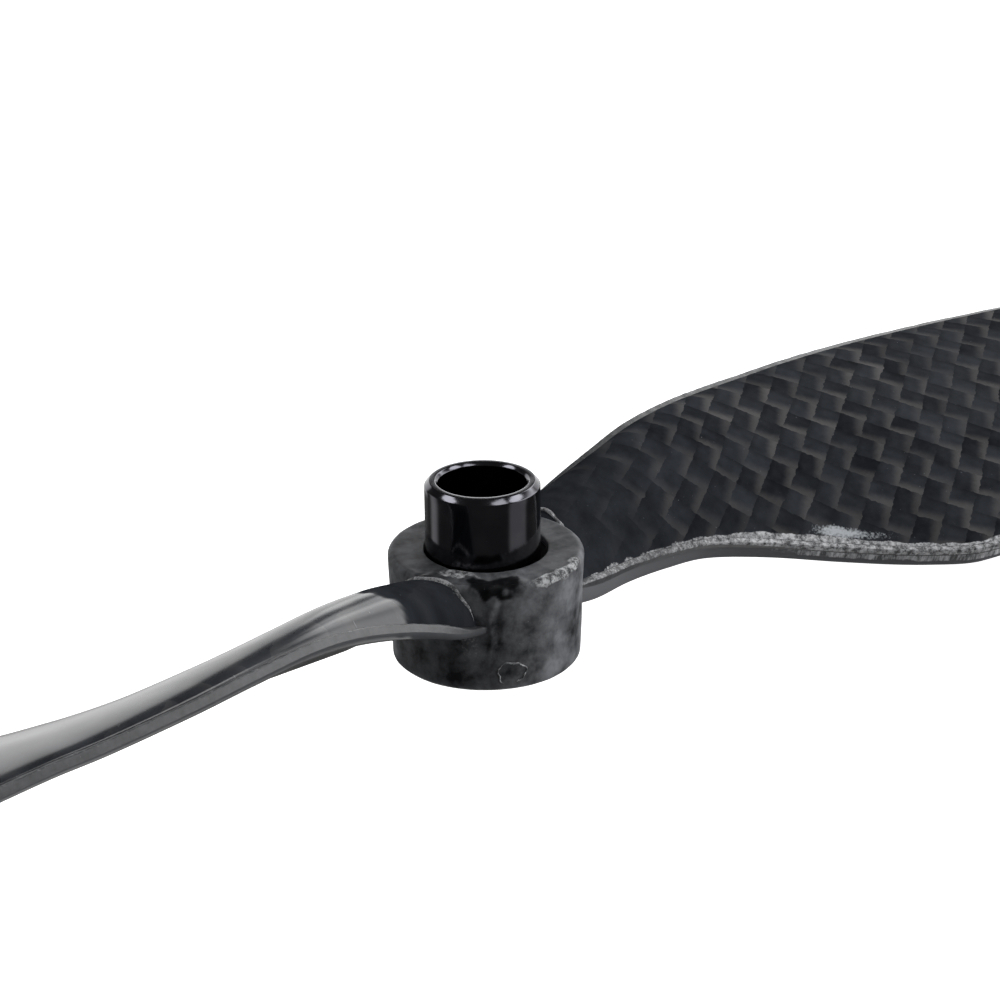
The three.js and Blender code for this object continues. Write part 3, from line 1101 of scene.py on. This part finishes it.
@dataclass(frozen=True)
class Blade:
    """One blade: two woven skins, a resin bead along each edge, and a resin line at its root."""

    side: Side
    shape: BladeShape
    steps_across: int = 72
    start_radius: float = 6.4
    # The hub's ply ends in a thin line, where the wall has its radius at this height.
    ply_end: RaisedLine = RaisedLine(0.2, 0.17, 0.72)
    ply_end_height: float = 6.5
    ply_end_wander: Layers = ((0.25, 1.6, 52), (0.1, 0.6, 53))
    # The moulded faces are never quite true: they wave by a few hundredths over several millimetres.
    waves: Layers = ((0.035, 4.5, 11), (0.015, 1.9, 12))
    sanding_marks: Layers = ((0.03, 0.45, 31), (0.02, 0.2, 32))

    @property
    def label(self) -> str:
        """The blade's name."""
        return self.side.name.lower()

    def build(self, cloth: bpy.types.Material, resin: bpy.types.Material) -> None:
        """Makes the blade's pieces and fixes them in place.

        Args:
            cloth: the skins' material.
            resin: the beads' material.
        """
        for upper in (True, False):
            level = "upper" if upper else "lower"
            piece = make_piece(f"{self.label}_{level}_laminate", self._skin(upper), cloth)
            place_piece(piece, BODY, "carbon_weave", f"{self.label}_{level}_skin")
        for edge in Edge:
            bead = self._bead(edge)
            if edge is Edge.LEADING:
                bead = joined([bead, self._root_line()])
            piece = make_piece(f"{self.label}_{edge.value}_bead", bead, resin)
            place_piece(piece, BODY, "seam_resin", f"{self.label}_{edge.value}_seam")

    def _settled(self, points: Points) -> Points:
        """Turns the right blade's points to this blade's side."""
        return turned_about_z(points, self.side.value)

    def _skin(self, upper: bool) -> Skin:
        """A skin, closed round its edges.

        Args:
            upper: whether it is the upper skin.

        Returns:
            The surface, with the masks that its material reads.
        """
        shape = self.shape
        outside = shape.upper if upper else shape.lower
        s = (1 - np.cos(np.linspace(0, math.pi, self.steps_across + 1))) / 2
        x = lines_from_hub(lambda at: shape.place(at, *outside(at, s)), len(s), self.start_radius)
        back, height = outside(x, s)
        outer = shape.place(x, back, height)
        wave = rumpled(outer, self.waves) * np.sqrt(4 * s * (1 - s)) * smooth(0.1, 1, shape.narrowing(x))
        height = height + (1 if upper else -1) * wave
        outer = shape.place(x, back, height)
        inner = shape.place(x, *shape.inside(x, s, upper))
        rings = np.concatenate([outer, inner[:, ::-1]], axis=1)
        painted = self._paint(x, back, s, upper).items()
        masks = {name: np.concatenate([mask, mask[:, ::-1]], axis=1) for name, mask in painted}
        return lofted(self._settled(rings), masks)

    def _paint(self, x: Points, back: Points, s: Points, upper: bool) -> dict[str, Points]:
        """The masks on a skin.

        Args:
            x: the distance from the spin axis.
            back: the distance back from the leading edge.
            s: the place across the skin.
            upper: whether it is the upper skin.

        Returns:
            The place on the cloth, and where it is veiled by resin with its painted glint hidden, dry, milky,
            sanded, and a plain lip.
        """
        shape, wear = self.shape, BLADE_WEAR[self.side]
        cloth = np.stack([x, back - shape.lead(x), np.full_like(x, self.side.value)], axis=-1)
        uneven = rumple(np.stack([x, back, back * 0], axis=-1), 0.8, 21)
        torn = rumple(np.stack([x * 0.5, back, back * 0], axis=-1), 0.9, 22)
        blurred = wear.blur * smooth(*wear.blurred, x + 2 * uneven + 2 * torn)
        # Over a long stretch the mask also hides the weave's painted glint and painted shade.
        veiled_and_glint_hidden = np.maximum(wear.glint_hidden * smooth(*wear.veiled_and_glint_hidden, x), blurred)
        dry = smooth(*wear.dry, x + wear.dry_torn * torn + wear.dry_uneven * uneven)
        masks = {
            "cloth": cloth,
            "veiled_and_glint_hidden": veiled_and_glint_hidden,
            "dry": wear.dry_outboard + (1 - wear.dry_outboard) * dry,
            "milky": np.zeros_like(x),
            "lip": np.zeros_like(x),
        }
        if upper:
            from_trailing = shape.chord(x) - shape.seam(x) - back
            (place, inset), (length, width) = wear.milky_at, wear.milky_reach
            reach = np.hypot((x - place) / length, (from_trailing - inset) / width)
            masks["milky"] = wear.milky * smooth(1.3, 0.1, reach + 0.15 * uneven + 0.12 * torn)
            margin = wear.margin + wear.wider * smooth(*wear.widens, x)
            margin = margin - wear.narrower * smooth(*wear.narrows, x)
            sanded = smooth(margin + 0.12, margin - 0.12, from_trailing + 0.16 * uneven)
            strength = wear.root_wear + (1 - wear.root_wear) * smooth(*wear.worn, x)
            return masks | {"sanded": sanded * strength}
        # Outboard the sanding ran on over the top of the lip.
        lowered = -shape.half_edge(x) - shape.lower(x, s)[1]
        sanded = smooth(*wear.lip_sanded_depth, lowered + 0.12 * uneven)
        lip = smooth(*wear.lip_width, shape.chord(x) * np.minimum(1 - s, s))
        masks["lip"] = wear.lip * np.maximum(lip, wear.plain_share * smooth(*wear.plain, x))
        return masks | {"sanded": sanded * smooth(0.8, 0.9, s) * smooth(*wear.lip_sanded, x)}

    def _bead(self, edge: Edge) -> Skin:
        """The resin bead along an edge, with a sanded top and an upright outer face.

        Args:
            edge: which edge.

        Returns:
            The surface, with the masks sanded and rich.
        """
        # The section from the joint's top, over the rounded corner, to the joint's bottom. Each point is
        # how far out it lies and how high, as parts of the seam's width and of half its thickness.
        turn = np.linspace(0, math.pi / 2, 6)
        corner = zip(0.78 + 0.22 * np.sin(turn), 0.6 + 0.4 * np.cos(turn))
        section = [(0, 0.97), (0.2, 0.99), (0.4, 1), (0.6, 1), *corner, (1, 0.3), (1, 0), (1, -0.4), (1, -1)]
        out, up = np.array([*section, *[(0, h) for _, h in reversed(section)]]).T
        shape, wear = self.shape, BEAD_WEAR[edge]

        def outline(x: Points) -> tuple[Points, Points]:
            """The section's distances back and its heights at x."""
            seam = shape.seam(x)
            back = seam * (1 - out) if edge is Edge.LEADING else shape.chord(x) - seam * (1 - out)
            return back, shape.half_edge(x) * up

        x = lines_from_hub(lambda at: shape.place(at, *outline(at)), len(out), self.start_radius)
        back, height = outline(x)
        points = shape.place(x, back, height)
        top = smooth(0.0, 0.4, up - 0.35 + wear.down_face * smooth(*wear.runs_down, x)) * (out > 0)
        rough = rumpled(points, self.sanding_marks) - 0.015
        uneven = 0.5 + 0.5 * rumple(points, 1.7, 33)
        strength = wear.root + (wear.outboard - wear.root) * smooth(*wear.worn, x)
        sanded = strength * np.maximum(top * (0.75 + 0.25 * uneven), wear.face * (0.6 + 0.8 * uneven))
        rings = self._settled(shape.place(x, back, height + rough * top))
        return lofted(rings, {"sanded": sanded, "rich_and_shaded": np.zeros_like(x)})

    def _root_line(self) -> Skin:
        """The line of resin where the hub's ply ends on the upper skin's root.

        Returns:
            The surface, with the masks sanded and rich.
        """
        shape = self.shape
        s = np.linspace(0.0, 0.97, 160)
        wall = Hub().wall_at(self.ply_end_height)
        x = lines_from_hub(lambda at: shape.place(at, *shape.upper(at, s)), len(s), wall)[0]
        path = shape.place(x, *shape.upper(x, s))
        wander = rumpled(path, self.ply_end_wander)
        x = x + 0.16 + 1.5 * wander * smooth(0, 0.1, s) * smooth(1, 0.9, s)
        path = shape.place(x, *shape.upper(x, s))
        outward = path * np.array([1.0, 1.0, 0.0])
        outward /= np.linalg.norm(outward, axis=-1, keepdims=True)
        normal = (outward + np.array([0.0, 0.0, 1.0])) / math.sqrt(2)
        return self.ply_end.along(self._settled(path), self._settled(normal))


# ------------------------------------------------------------------------------- the hub


@dataclass(frozen=True)
class Around:
    """Points of a surface, with where each one lies about the spin axis."""

    points: Points

    @property
    def radius(self) -> Points:
        """The distance from the axis."""
        return np.linalg.norm(self.points[..., :2], axis=-1)

    @property
    def angle(self) -> Points:
        """The angle about +Z from +X, in degrees from 0 to 360."""
        return np.degrees(np.arctan2(self.points[..., 1], self.points[..., 0])) % 360

    @property
    def height(self) -> Points:
        """The height over the hub's bottom."""
        return self.points[..., 2]

    @property
    def outward(self) -> Points:
        """The direction straight away from the axis."""
        return self.points * np.array([1.0, 1.0, 0.0]) / np.maximum(self.radius, 1e-6)[..., None]


@dataclass(frozen=True)
class Hub:
    """The hub: an upper and a lower laminate shell round a core, with a hole for the sleeve."""

    top_radius: float = 6.85
    bottom_radius: float = 6.65
    height: float = 7.9
    top_round: float = 0.5
    bottom_round: float = 0.3
    ply: float = 0.55
    hole: float = 4.325
    parting: float = 4.6
    core_gap: float = 0.1
    segments: int = 420
    step: float = 0.16
    hole_round: float = 0.12
    waves: Layers = ((0.03, 2.2, 42), (0.018, 0.8, 43))
    # Wear, flaws and a darker patch lie at angles in degrees about +Z from +X, and reach so many degrees and
    # millimetres.
    # A fade is where the flaw starts and where it is complete, as a distance or as parts of its reach.
    sanded_arc: Span = (258.0, 306.0)
    rim_fade: Span = (0.62, 0.3)
    chipped_at: float = 208.0
    chip_reach: Span = (17.0, 0.8)
    chip_inset: float = 0.45
    chip_fade: Span = (1.2, 0.5)
    # The blade's ply lies over the hub from the first stretch to the second, and is folded in one place.
    laid_from: Span = (168.0, 190.0)
    laid_to: Span = (272.0, 250.0)
    folded_at: float = 233.0
    fold_height: float = 0.08
    fold_rises: Span = (2.6, 3.8)
    fold_ends: Span = (7.2, 6.2)
    groove_depth: float = 0.1
    groove_beside: float = 4.5
    darkened_at: float = 236.0
    darkened_reach: Span = (20.0, 0.85)
    darkened_fade: Span = (1.08, 0.8)
    # How rich in resin the patches are, how dark the whole top is painted as shade, and how strongly the wall
    # is scuffed.
    rich_patches: float = 0.3
    shaded_top: float = 0.38
    scuffs: float = 0.42
    # A fibre's loop: its bead, the angle and height of its middle, and its half-width and half-height.
    vein: RaisedLine = RaisedLine(0.06, 0.07, 0.75)
    vein_at: float = 244.0
    vein_height: float = 1.3
    vein_reach: Span = (0.98, 0.82)

    def wall_at(self, height: float) -> float:
        """The wall's radius at a height: it is drafted so that the moulding leaves its mould."""
        return self.bottom_radius + (self.top_radius - self.bottom_radius) * height / self.height

    def build(self, laminate: bpy.types.Material, filler: bpy.types.Material) -> None:
        """Makes the hub's pieces and fixes them in place.

        Args:
            laminate: the shells' material.
            filler: the core's material.
        """
        inner = self.bottom_radius - self.ply
        top, edge, foot = self.top_round, self.hole_round, self.bottom_round
        upper = [
            (self.hole, self.height - self.ply),
            (inner, self.height - self.ply),
            (inner, self.parting),
            (self.wall_at(self.parting), self.parting),
            *quarter_round((self.top_radius - top, self.height - top), top, 0, 90, 8),
            *quarter_round((self.hole + edge, self.height - edge), edge, 90, 180, 4),
        ]
        lower = [
            (self.hole, 0.0),
            *quarter_round((self.bottom_radius - foot, foot), foot, -90, 0, 6),
            (self.wall_at(self.parting), self.parting),
            (inner, self.parting),
            (inner, self.ply),
            (self.hole, self.ply),
        ]
        gap = self.core_gap
        core = [
            (self.hole, self.ply + gap),
            (inner - gap, self.ply + gap),
            (inner - gap, self.height - self.ply - gap),
            (self.hole, self.height - self.ply - gap),
        ]
        for name, outline, material, slot, node in (
            ("hub_upper_laminate", upper, laminate, "hub_laminate", "hub_upper_shell"),
            ("hub_lower_laminate", lower, laminate, "hub_laminate", "hub_lower_shell"),
            ("hub_filler", core, filler, "core_filler", "hub_core"),
        ):
            skin = self._shell(outline)
            if name == "hub_lower_laminate":
                skin = joined([skin, self._resin_vein()])
            piece = make_piece(name, skin, material)
            place_piece(piece, BODY, slot, node)

    def _rim(self, at: Around, uneven: Points) -> Points:
        """Where the top's outer rim is sanded, along one arc.

        Args:
            at: the surface's points.
            uneven: lumps that make the wear's edge uneven.

        Returns:
            A value from 0 to 1 for each point.
        """
        low, high = self.sanded_arc
        angle = at.angle + 4 * uneven
        corner = self.top_radius - self.top_round * 0.3, self.height - self.top_round * 0.3
        to_rim = np.hypot(at.radius - corner[0], at.height - corner[1])
        in_arc = smooth(low - 6, low + 6, angle) * smooth(high + 4, high - 4, angle)
        return smooth(*self.rim_fade, to_rim + 0.22 * uneven) * in_arc

    def _chip(self, at: Around, uneven: Points) -> Points:
        """Where the hole's upper edge is chipped.

        Args:
            at: the surface's points.
            uneven: lumps that make the chip's edge uneven.

        Returns:
            A value from 0 to 1 for each point.
        """
        half_angle, half_width = self.chip_reach
        aside = (at.angle - self.chipped_at) / half_angle
        reach = np.hypot(aside, (at.radius - self.hole - self.chip_inset) / half_width)
        near_top = smooth(self.height - 0.3, self.height - 0.1, at.height)
        return smooth(*self.chip_fade, reach + 0.35 * uneven) * near_top

    def _laid(self, at: Around) -> Points:
        """Where the blade's ply was laid over the hub's near side, and left its top crumpled.

        Args:
            at: the surface's points.

        Returns:
            A value from 0 to 1 for each point.
        """
        along = smooth(*self.laid_from, at.angle) * smooth(*self.laid_to, at.angle)
        upwards = smooth(self.height - 1.6, self.height - 0.2, at.height)
        return along * upwards * smooth(self.hole - 0.1, self.hole + 0.3, at.radius)

    def _folds(self, at: Around) -> Points:
        """How far the upright fold in the wall's ply, and the groove beside it, stand out.

        Args:
            at: the surface's points.

        Returns:
            A distance for each point.
        """
        away = at.angle - self.folded_at - 3 * rumple(at.points, 1.4, 47)
        ridge = self.fold_height * np.exp(-((away / 1.3) ** 2))
        groove = self.groove_depth * np.exp(-(((away - self.groove_beside) / 1.6) ** 2))
        return (ridge - groove) * smooth(*self.fold_rises, at.height) * smooth(*self.fold_ends, at.height)

    def _darkened_patch(self, at: Around, moved: Points, uneven: Points, torn: Points) -> Points:
        """A darker patch on the near side's top and over its rim.

        Args:
            at: the surface's points.
            moved: the points once the lumps have moved them.
            uneven: lumps that make the patch's edge uneven.
            torn: finer lumps.

        Returns:
            A value from 0 to 1 for each point.
        """
        half_angle, half_height = self.darkened_reach
        below = (at.height - self.height - 0.3 + 0.1 * (at.radius - self.hole)) / half_height
        dark_patch = np.hypot((at.angle - self.darkened_at) / half_angle, below)
        rich_and_shaded = smooth(*self.darkened_fade, dark_patch + 0.45 * uneven + 0.5 * rumple(moved, 1.1, 49))
        return rich_and_shaded * smooth(self.hole + 0.6, self.hole + 1.1, at.radius + 0.2 * torn)

    def _shell(self, outline: Sequence[Span]) -> Skin:
        """Turns an outline about the spin axis and gives it its lumps and wear.

        Args:
            outline: the outline, as radius and height.

        Returns:
            The surface, with the masks sanded and rich.
        """
        points, faces = revolved(divided(outline, self.step), self.segments)
        at = Around(points)
        uneven, torn = rumple(points, 0.5, 41), rumple(points, 0.33, 45)
        rim, chip, laid = self._rim(at, uneven), self._chip(at, uneven), self._laid(at)
        on_wall = smooth(self.bottom_radius - 0.5, self.bottom_radius - 0.1, at.radius)
        on_top = smooth(self.height - 0.1, self.height, at.height)
        crumple = laid * (0.12 * rumple(points, 1.1, 46) + 0.06 * uneven + 0.04 * torn - 0.09)
        lumps = rumpled(points, self.waves) - 0.03
        lumps = lumps + self._folds(at) + (0.07 * (uneven - 0.5) + 0.06 * torn) * rim + crumple
        moved = points + at.outward * (on_wall * lumps - 0.12 * chip * uneven)[..., None]
        dents = on_top * (0.012 * rumple(moved, 1.5, 44) - 0.014 + crumple)
        moved[..., 2] += dents - 0.07 * chip * (1 - uneven)
        scuffed = self.scuffs * smooth(0.0, 0.8, rumple(moved, 1.3, 48)) * np.minimum(1, on_wall + laid)
        rich_and_shaded = self._darkened_patch(at, moved, uneven, torn)
        patches = self.rich_patches * smooth(0.15, 0.65, rumple(moved, 1.9, 50))
        # The whole top is darkened as painted shade, through the same mask as the resin-rich patches.
        rich_and_shaded = np.maximum(np.maximum(rich_and_shaded, patches), self.shaded_top * on_top)
        sanded = np.maximum(0.95 * np.maximum(rim, chip), scuffed * (1 - rich_and_shaded))
        masks = {"sanded": sanded.reshape(-1, 1), "rich_and_shaded": rich_and_shaded.reshape(-1, 1)}
        return Skin(moved.reshape(-1, 3), faces, masks).facing_out()

    def _resin_vein(self) -> Skin:
        """The loop of a loose fibre, caught under the resin low on the wall.

        Returns:
            The surface, with the masks sanded and rich.
        """
        turn = np.radians(np.linspace(238, -75, 120))
        wobble = 1 + 0.1 * np.sin(3 * turn + 1) + 0.05 * np.sin(7 * turn)
        half_width, half_height = self.vein_reach
        radius = self.wall_at(self.vein_height) - 0.02
        angle = math.radians(self.vein_at) + half_width * wobble * np.cos(turn) / radius
        outward = np.stack([np.cos(angle), np.sin(angle), 0 * angle], axis=-1)
        path = outward * radius
        path[:, 2] = self.vein_height + half_height * wobble * np.sin(turn)
        return self.vein.along(path, outward)


# ------------------------------------------------------------------------------- the sleeve


@dataclass(frozen=True)
class Sleeve:
    """The loose adapter sleeve, a turned tube with chamfered ends whose corners are just broken."""

    node: str = "adapter_sleeve"
    radius: float = 4.0
    bore: float = 3.05
    outer_chamfer: float = 0.35
    bore_chamfer: float = 0.2
    broken_corner: float = 0.035
    segments: int = 256
    step: float = 0.5

    def build(self, metal: bpy.types.Material) -> None:
        """Makes the sleeve and fixes it in place.

        Args:
            metal: the sleeve's material.
        """
        low, high = (Vector(corner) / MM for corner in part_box(self.node))
        section = [
            (self.bore + self.bore_chamfer, low.z),
            (self.radius - self.outer_chamfer, low.z),
            (self.radius, low.z + self.outer_chamfer),
            (self.radius, high.z - self.outer_chamfer),
            (self.radius - self.outer_chamfer, high.z),
            (self.bore + self.bore_chamfer, high.z),
            (self.bore, high.z - self.bore_chamfer),
            (self.bore, low.z + self.bore_chamfer),
        ]
        points, faces = revolved(divided(self._broken(section), self.step), self.segments)
        points = points + np.array([(low.x + high.x) / 2, (low.y + high.y) / 2, 0])
        skin = Skin(points.reshape(-1, 3), faces, {}).facing_out()
        piece = make_piece("anodised_sleeve", skin, metal, sharp=60)
        place_piece(piece, SLEEVE_BODY, "anodised_aluminium", self.node)

    def _broken(self, outline: Sequence[Span]) -> list[Span]:
        """Rounds each corner of a closed outline off with three short steps.

        Args:
            outline: the outline's corners.

        Returns:
            The outline with its corners broken.
        """
        rounded = []
        for i, corner in enumerate(outline):
            here = np.array(corner)
            before, after = (np.array(outline[j % len(outline)]) - here for j in (i - 1, i + 1))
            start, end = (here + self.broken_corner * v / np.linalg.norm(v) for v in (before, after))
            for t in (0, 1 / 3, 2 / 3, 1):
                rounded.append(tuple((1 - t) ** 2 * start + 2 * t * (1 - t) * here + t * t * end))
        return rounded


# ------------------------------------------------------------------------------- the studio


@dataclass(frozen=True)
class Softbox:
    """A soft lamp. Its azimuth is from the camera's side, anticlockwise from above, in degrees."""

    azimuth: float
    elevation: float
    width: float
    height: float
    radiance: float


@dataclass(frozen=True)
class Card:
    """A soft patch of light from the room. Its sizes, in degrees, are from its middle to where it fades."""

    azimuth: float
    elevation: float
    half_width: float
    half_height: float
    feather: float
    radiance: float


@dataclass(frozen=True)
class Studio:
    """A pale floor, a pale room, soft lamps and the camera."""

    azimuth: float = -40.91
    elevation: float = 22.5
    roll: float = 0.45
    distance: float = 158.0
    lens: float = 80.54
    sensor_width: float = 36.0
    # The nearest and the farthest that the camera sees, in metres.
    clip: Span = (0.01, 50.0)
    # How far the spin axis's foot lies from the middle of the view, to the right and up, in mm.
    aside: float = -0.926
    below: float = -10.49
    lamp_distance: float = 600.0
    floor_half_width: float = 4000.0
    floor_drop: float = 3.0
    ambient: float = 0.08
    lamps: tuple[Softbox, ...] = (
        Softbox(92, 48, 240, 150, 6.0),
        Softbox(-90, 48, 240, 150, 6.0),
        Softbox(50, 58, 200, 160, 4.2),
    )
    cards: tuple[Card, ...] = (
        Card(180, 0, 40, 17, 6, 1.4),
        Card(175, 12, 10, 5, 3, 1.6),
        Card(157, 28, 7, 4, 9, 3.2),
        Card(141, 34, 8, 5, 9, 4.2),
        Card(100, 12, 24, 12, 14, 3.5),
        Card(75, -24, 15, 12, 10, 0.5),
        Card(-111, -22, 3, 30, 14, 0.8),
        Card(0, -90, 180, 26, 22, 1.0),
    )

    def build(self) -> None:
        """Makes the camera, the lamps, the room's light and the floor."""
        scene = bpy.context.scene
        scene.view_settings.view_transform = "Standard"
        scene.view_settings.look = "None"
        scene.camera = self._camera()
        for i, lamp in enumerate(self.lamps):
            self._lamp(f"softbox_{i + 1}", lamp)
        scene.world = self._room()
        self._floor()

    def _direction(self, azimuth: float, elevation: float) -> Vector:
        """The direction at an azimuth from the camera's side, and at an elevation."""
        a, e = math.radians(self.azimuth + azimuth), math.radians(elevation)
        return Vector((math.sin(a) * math.cos(e), -math.cos(a) * math.cos(e), math.sin(e)))

    def _camera(self) -> bpy.types.Object:
        """Makes the camera.

        Returns:
            The camera, in the scene.
        """
        back = self._direction(0, self.elevation)
        a, r = math.radians(self.azimuth), math.radians(self.roll)
        level = Vector((math.cos(a), math.sin(a), 0))
        upright = back.cross(level)
        right = level * math.cos(r) - upright * math.sin(r)
        up = level * math.sin(r) + upright * math.cos(r)
        data = bpy.data.cameras.new("camera")
        data.lens = self.lens
        data.sensor_width = self.sensor_width
        data.clip_start, data.clip_end = self.clip
        camera = bpy.data.objects.new("camera", data)
        matrix = Matrix((right, up, back)).transposed().to_4x4()
        matrix.translation = (-self.aside * right - self.below * up + self.distance * back) * MM
        camera.matrix_world = matrix
        bpy.context.scene.collection.objects.link(camera)
        return camera

    def _lamp(self, name: str, lamp: Softbox) -> None:
        """Makes a soft lamp that looks at the hub.

        Args:
            name: the lamp's name.
            lamp: where it stands, and its size and strength.
        """
        data = bpy.data.lights.new(name, "AREA")
        data.shape = "RECTANGLE"
        data.size, data.size_y = lamp.width * MM, lamp.height * MM
        data.energy = lamp.radiance * math.pi * data.size * data.size_y
        towards = self._direction(lamp.azimuth, lamp.elevation)
        light = bpy.data.objects.new(name, data)
        light.location = towards * self.lamp_distance * MM
        light.rotation_euler = towards.to_track_quat("Z", "Y").to_euler()
        light.visible_camera = False
        bpy.context.scene.collection.objects.link(light)

    def _room(self) -> bpy.types.World:
        """Makes the room's light: white behind the object, soft cards, and dim elsewhere.

        Returns:
            The world.
        """
        world = bpy.data.worlds.new("studio")
        world.use_nodes = True
        tree = world.node_tree
        tree.nodes.clear()
        way = add_node(tree, "TexCoord", {}, "Generated")
        total = self.ambient
        for card in self.cards:
            lit = {0: self._glow(tree, way, card), 1: card.radiance, 2: total}
            total = add_node(tree, "Math", lit, operation="MULTIPLY_ADD")
        seen = add_node(tree, "LightPath", {}, "Is Camera Ray")
        strength = add_node(tree, "Mix", {0: seen, 2: total, 3: 1.0})
        light = add_node(tree, "Background", {"Color": (1, 1, 1, 1), "Strength": strength})
        add_node(tree, "OutputWorld", {"Surface": light})
        return world

    def _glow(self, tree: Tree, way: Socket, card: Card) -> Socket:
        """How much of a card shows in a direction.

        Args:
            tree: the world's tree.
            way: the direction.
            card: the card.

        Returns:
            A value from 0 to 1.
        """
        ahead = tuple(self._direction(card.azimuth, 0))
        beside = tuple(self._direction(card.azimuth + 90, 0))
        aside, forward, up = (
            add_node(tree, "VectorMath", {0: way, 1: axis}, "Value", **DOT)
            for axis in (beside, ahead, (0.0, 0.0, 1.0))
        )
        azimuth = add_node(tree, "Math", {0: aside, 1: forward}, operation="ARCTAN2")
        climb = add_node(tree, "Math", {0: up}, operation="ARCSINE")
        climb = add_node(tree, "Math", {0: climb, 1: math.radians(card.elevation)}, operation="SUBTRACT")
        shown = []
        for angle, half_size in ((azimuth, card.half_width), (climb, card.half_height)):
            away = add_node(tree, "Math", {0: angle}, operation="ABSOLUTE")
            edges = limits("From", (math.radians(half_size + card.feather), math.radians(half_size)))
            shown.append(add_node(tree, "MapRange", {"Value": away, **edges}, **SMOOTHLY))
        return add_node(tree, "Math", dict(enumerate(shown)), operation="MULTIPLY")

    def _floor(self) -> None:
        """Makes the pale floor, a little under the object."""
        low = Vector(cad_box[0]).z - self.floor_drop * MM
        reach = self.floor_half_width * MM
        corners = [(reach * x, reach * y, low) for x, y in ((-1, -1), (1, -1), (1, 1), (-1, 1))]
        mesh = bpy.data.meshes.new("floor")
        mesh.from_pydata(corners, [], [(0, 1, 2, 3)])
        mesh.materials.append(PaleFloor().build())
        floor = bpy.data.objects.new("floor", mesh)
        bpy.context.scene.collection.objects.link(floor)
        # The floor shows only to the camera, so that what the object mirrors is the room.
        floor.visible_diffuse = False
        floor.visible_glossy = False


# ------------------------------------------------------------------------------- everything


def dress_inner_pieces() -> None:
    """Gives the spars and the cores, which stay as the CAD has them, their materials."""
    for finish, names in (
        (SPAR_TOW, ("right_spar", "left_spar")),
        (CORE_FILLER, ("right_core", "left_core")),
    ):
        material = finish.build()
        for name in names:
            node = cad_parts[name]
            node.data.materials.clear()
            node.data.materials.append(material)
            LOG.info("%s keeps its CAD shape", name)


def main() -> None:
    """Builds the propeller's looks and the studio."""
    logging.basicConfig(level=logging.INFO, format="%(name)s: %(message)s")
    Studio().build()
    cloth, resin = WovenCarbon().build(), SEAM_RESIN.build()
    Hub().build(HUB_LAMINATE.build(), CORE_FILLER.build())
    Sleeve().build(AnodisedAluminium().build())
    for side in Side:
        Blade(side, BladeShape(trimmed_root=TRIMMED_ROOT[side])).build(cloth, resin)
    dress_inner_pieces()


if __name__ == "__main__":
    main()
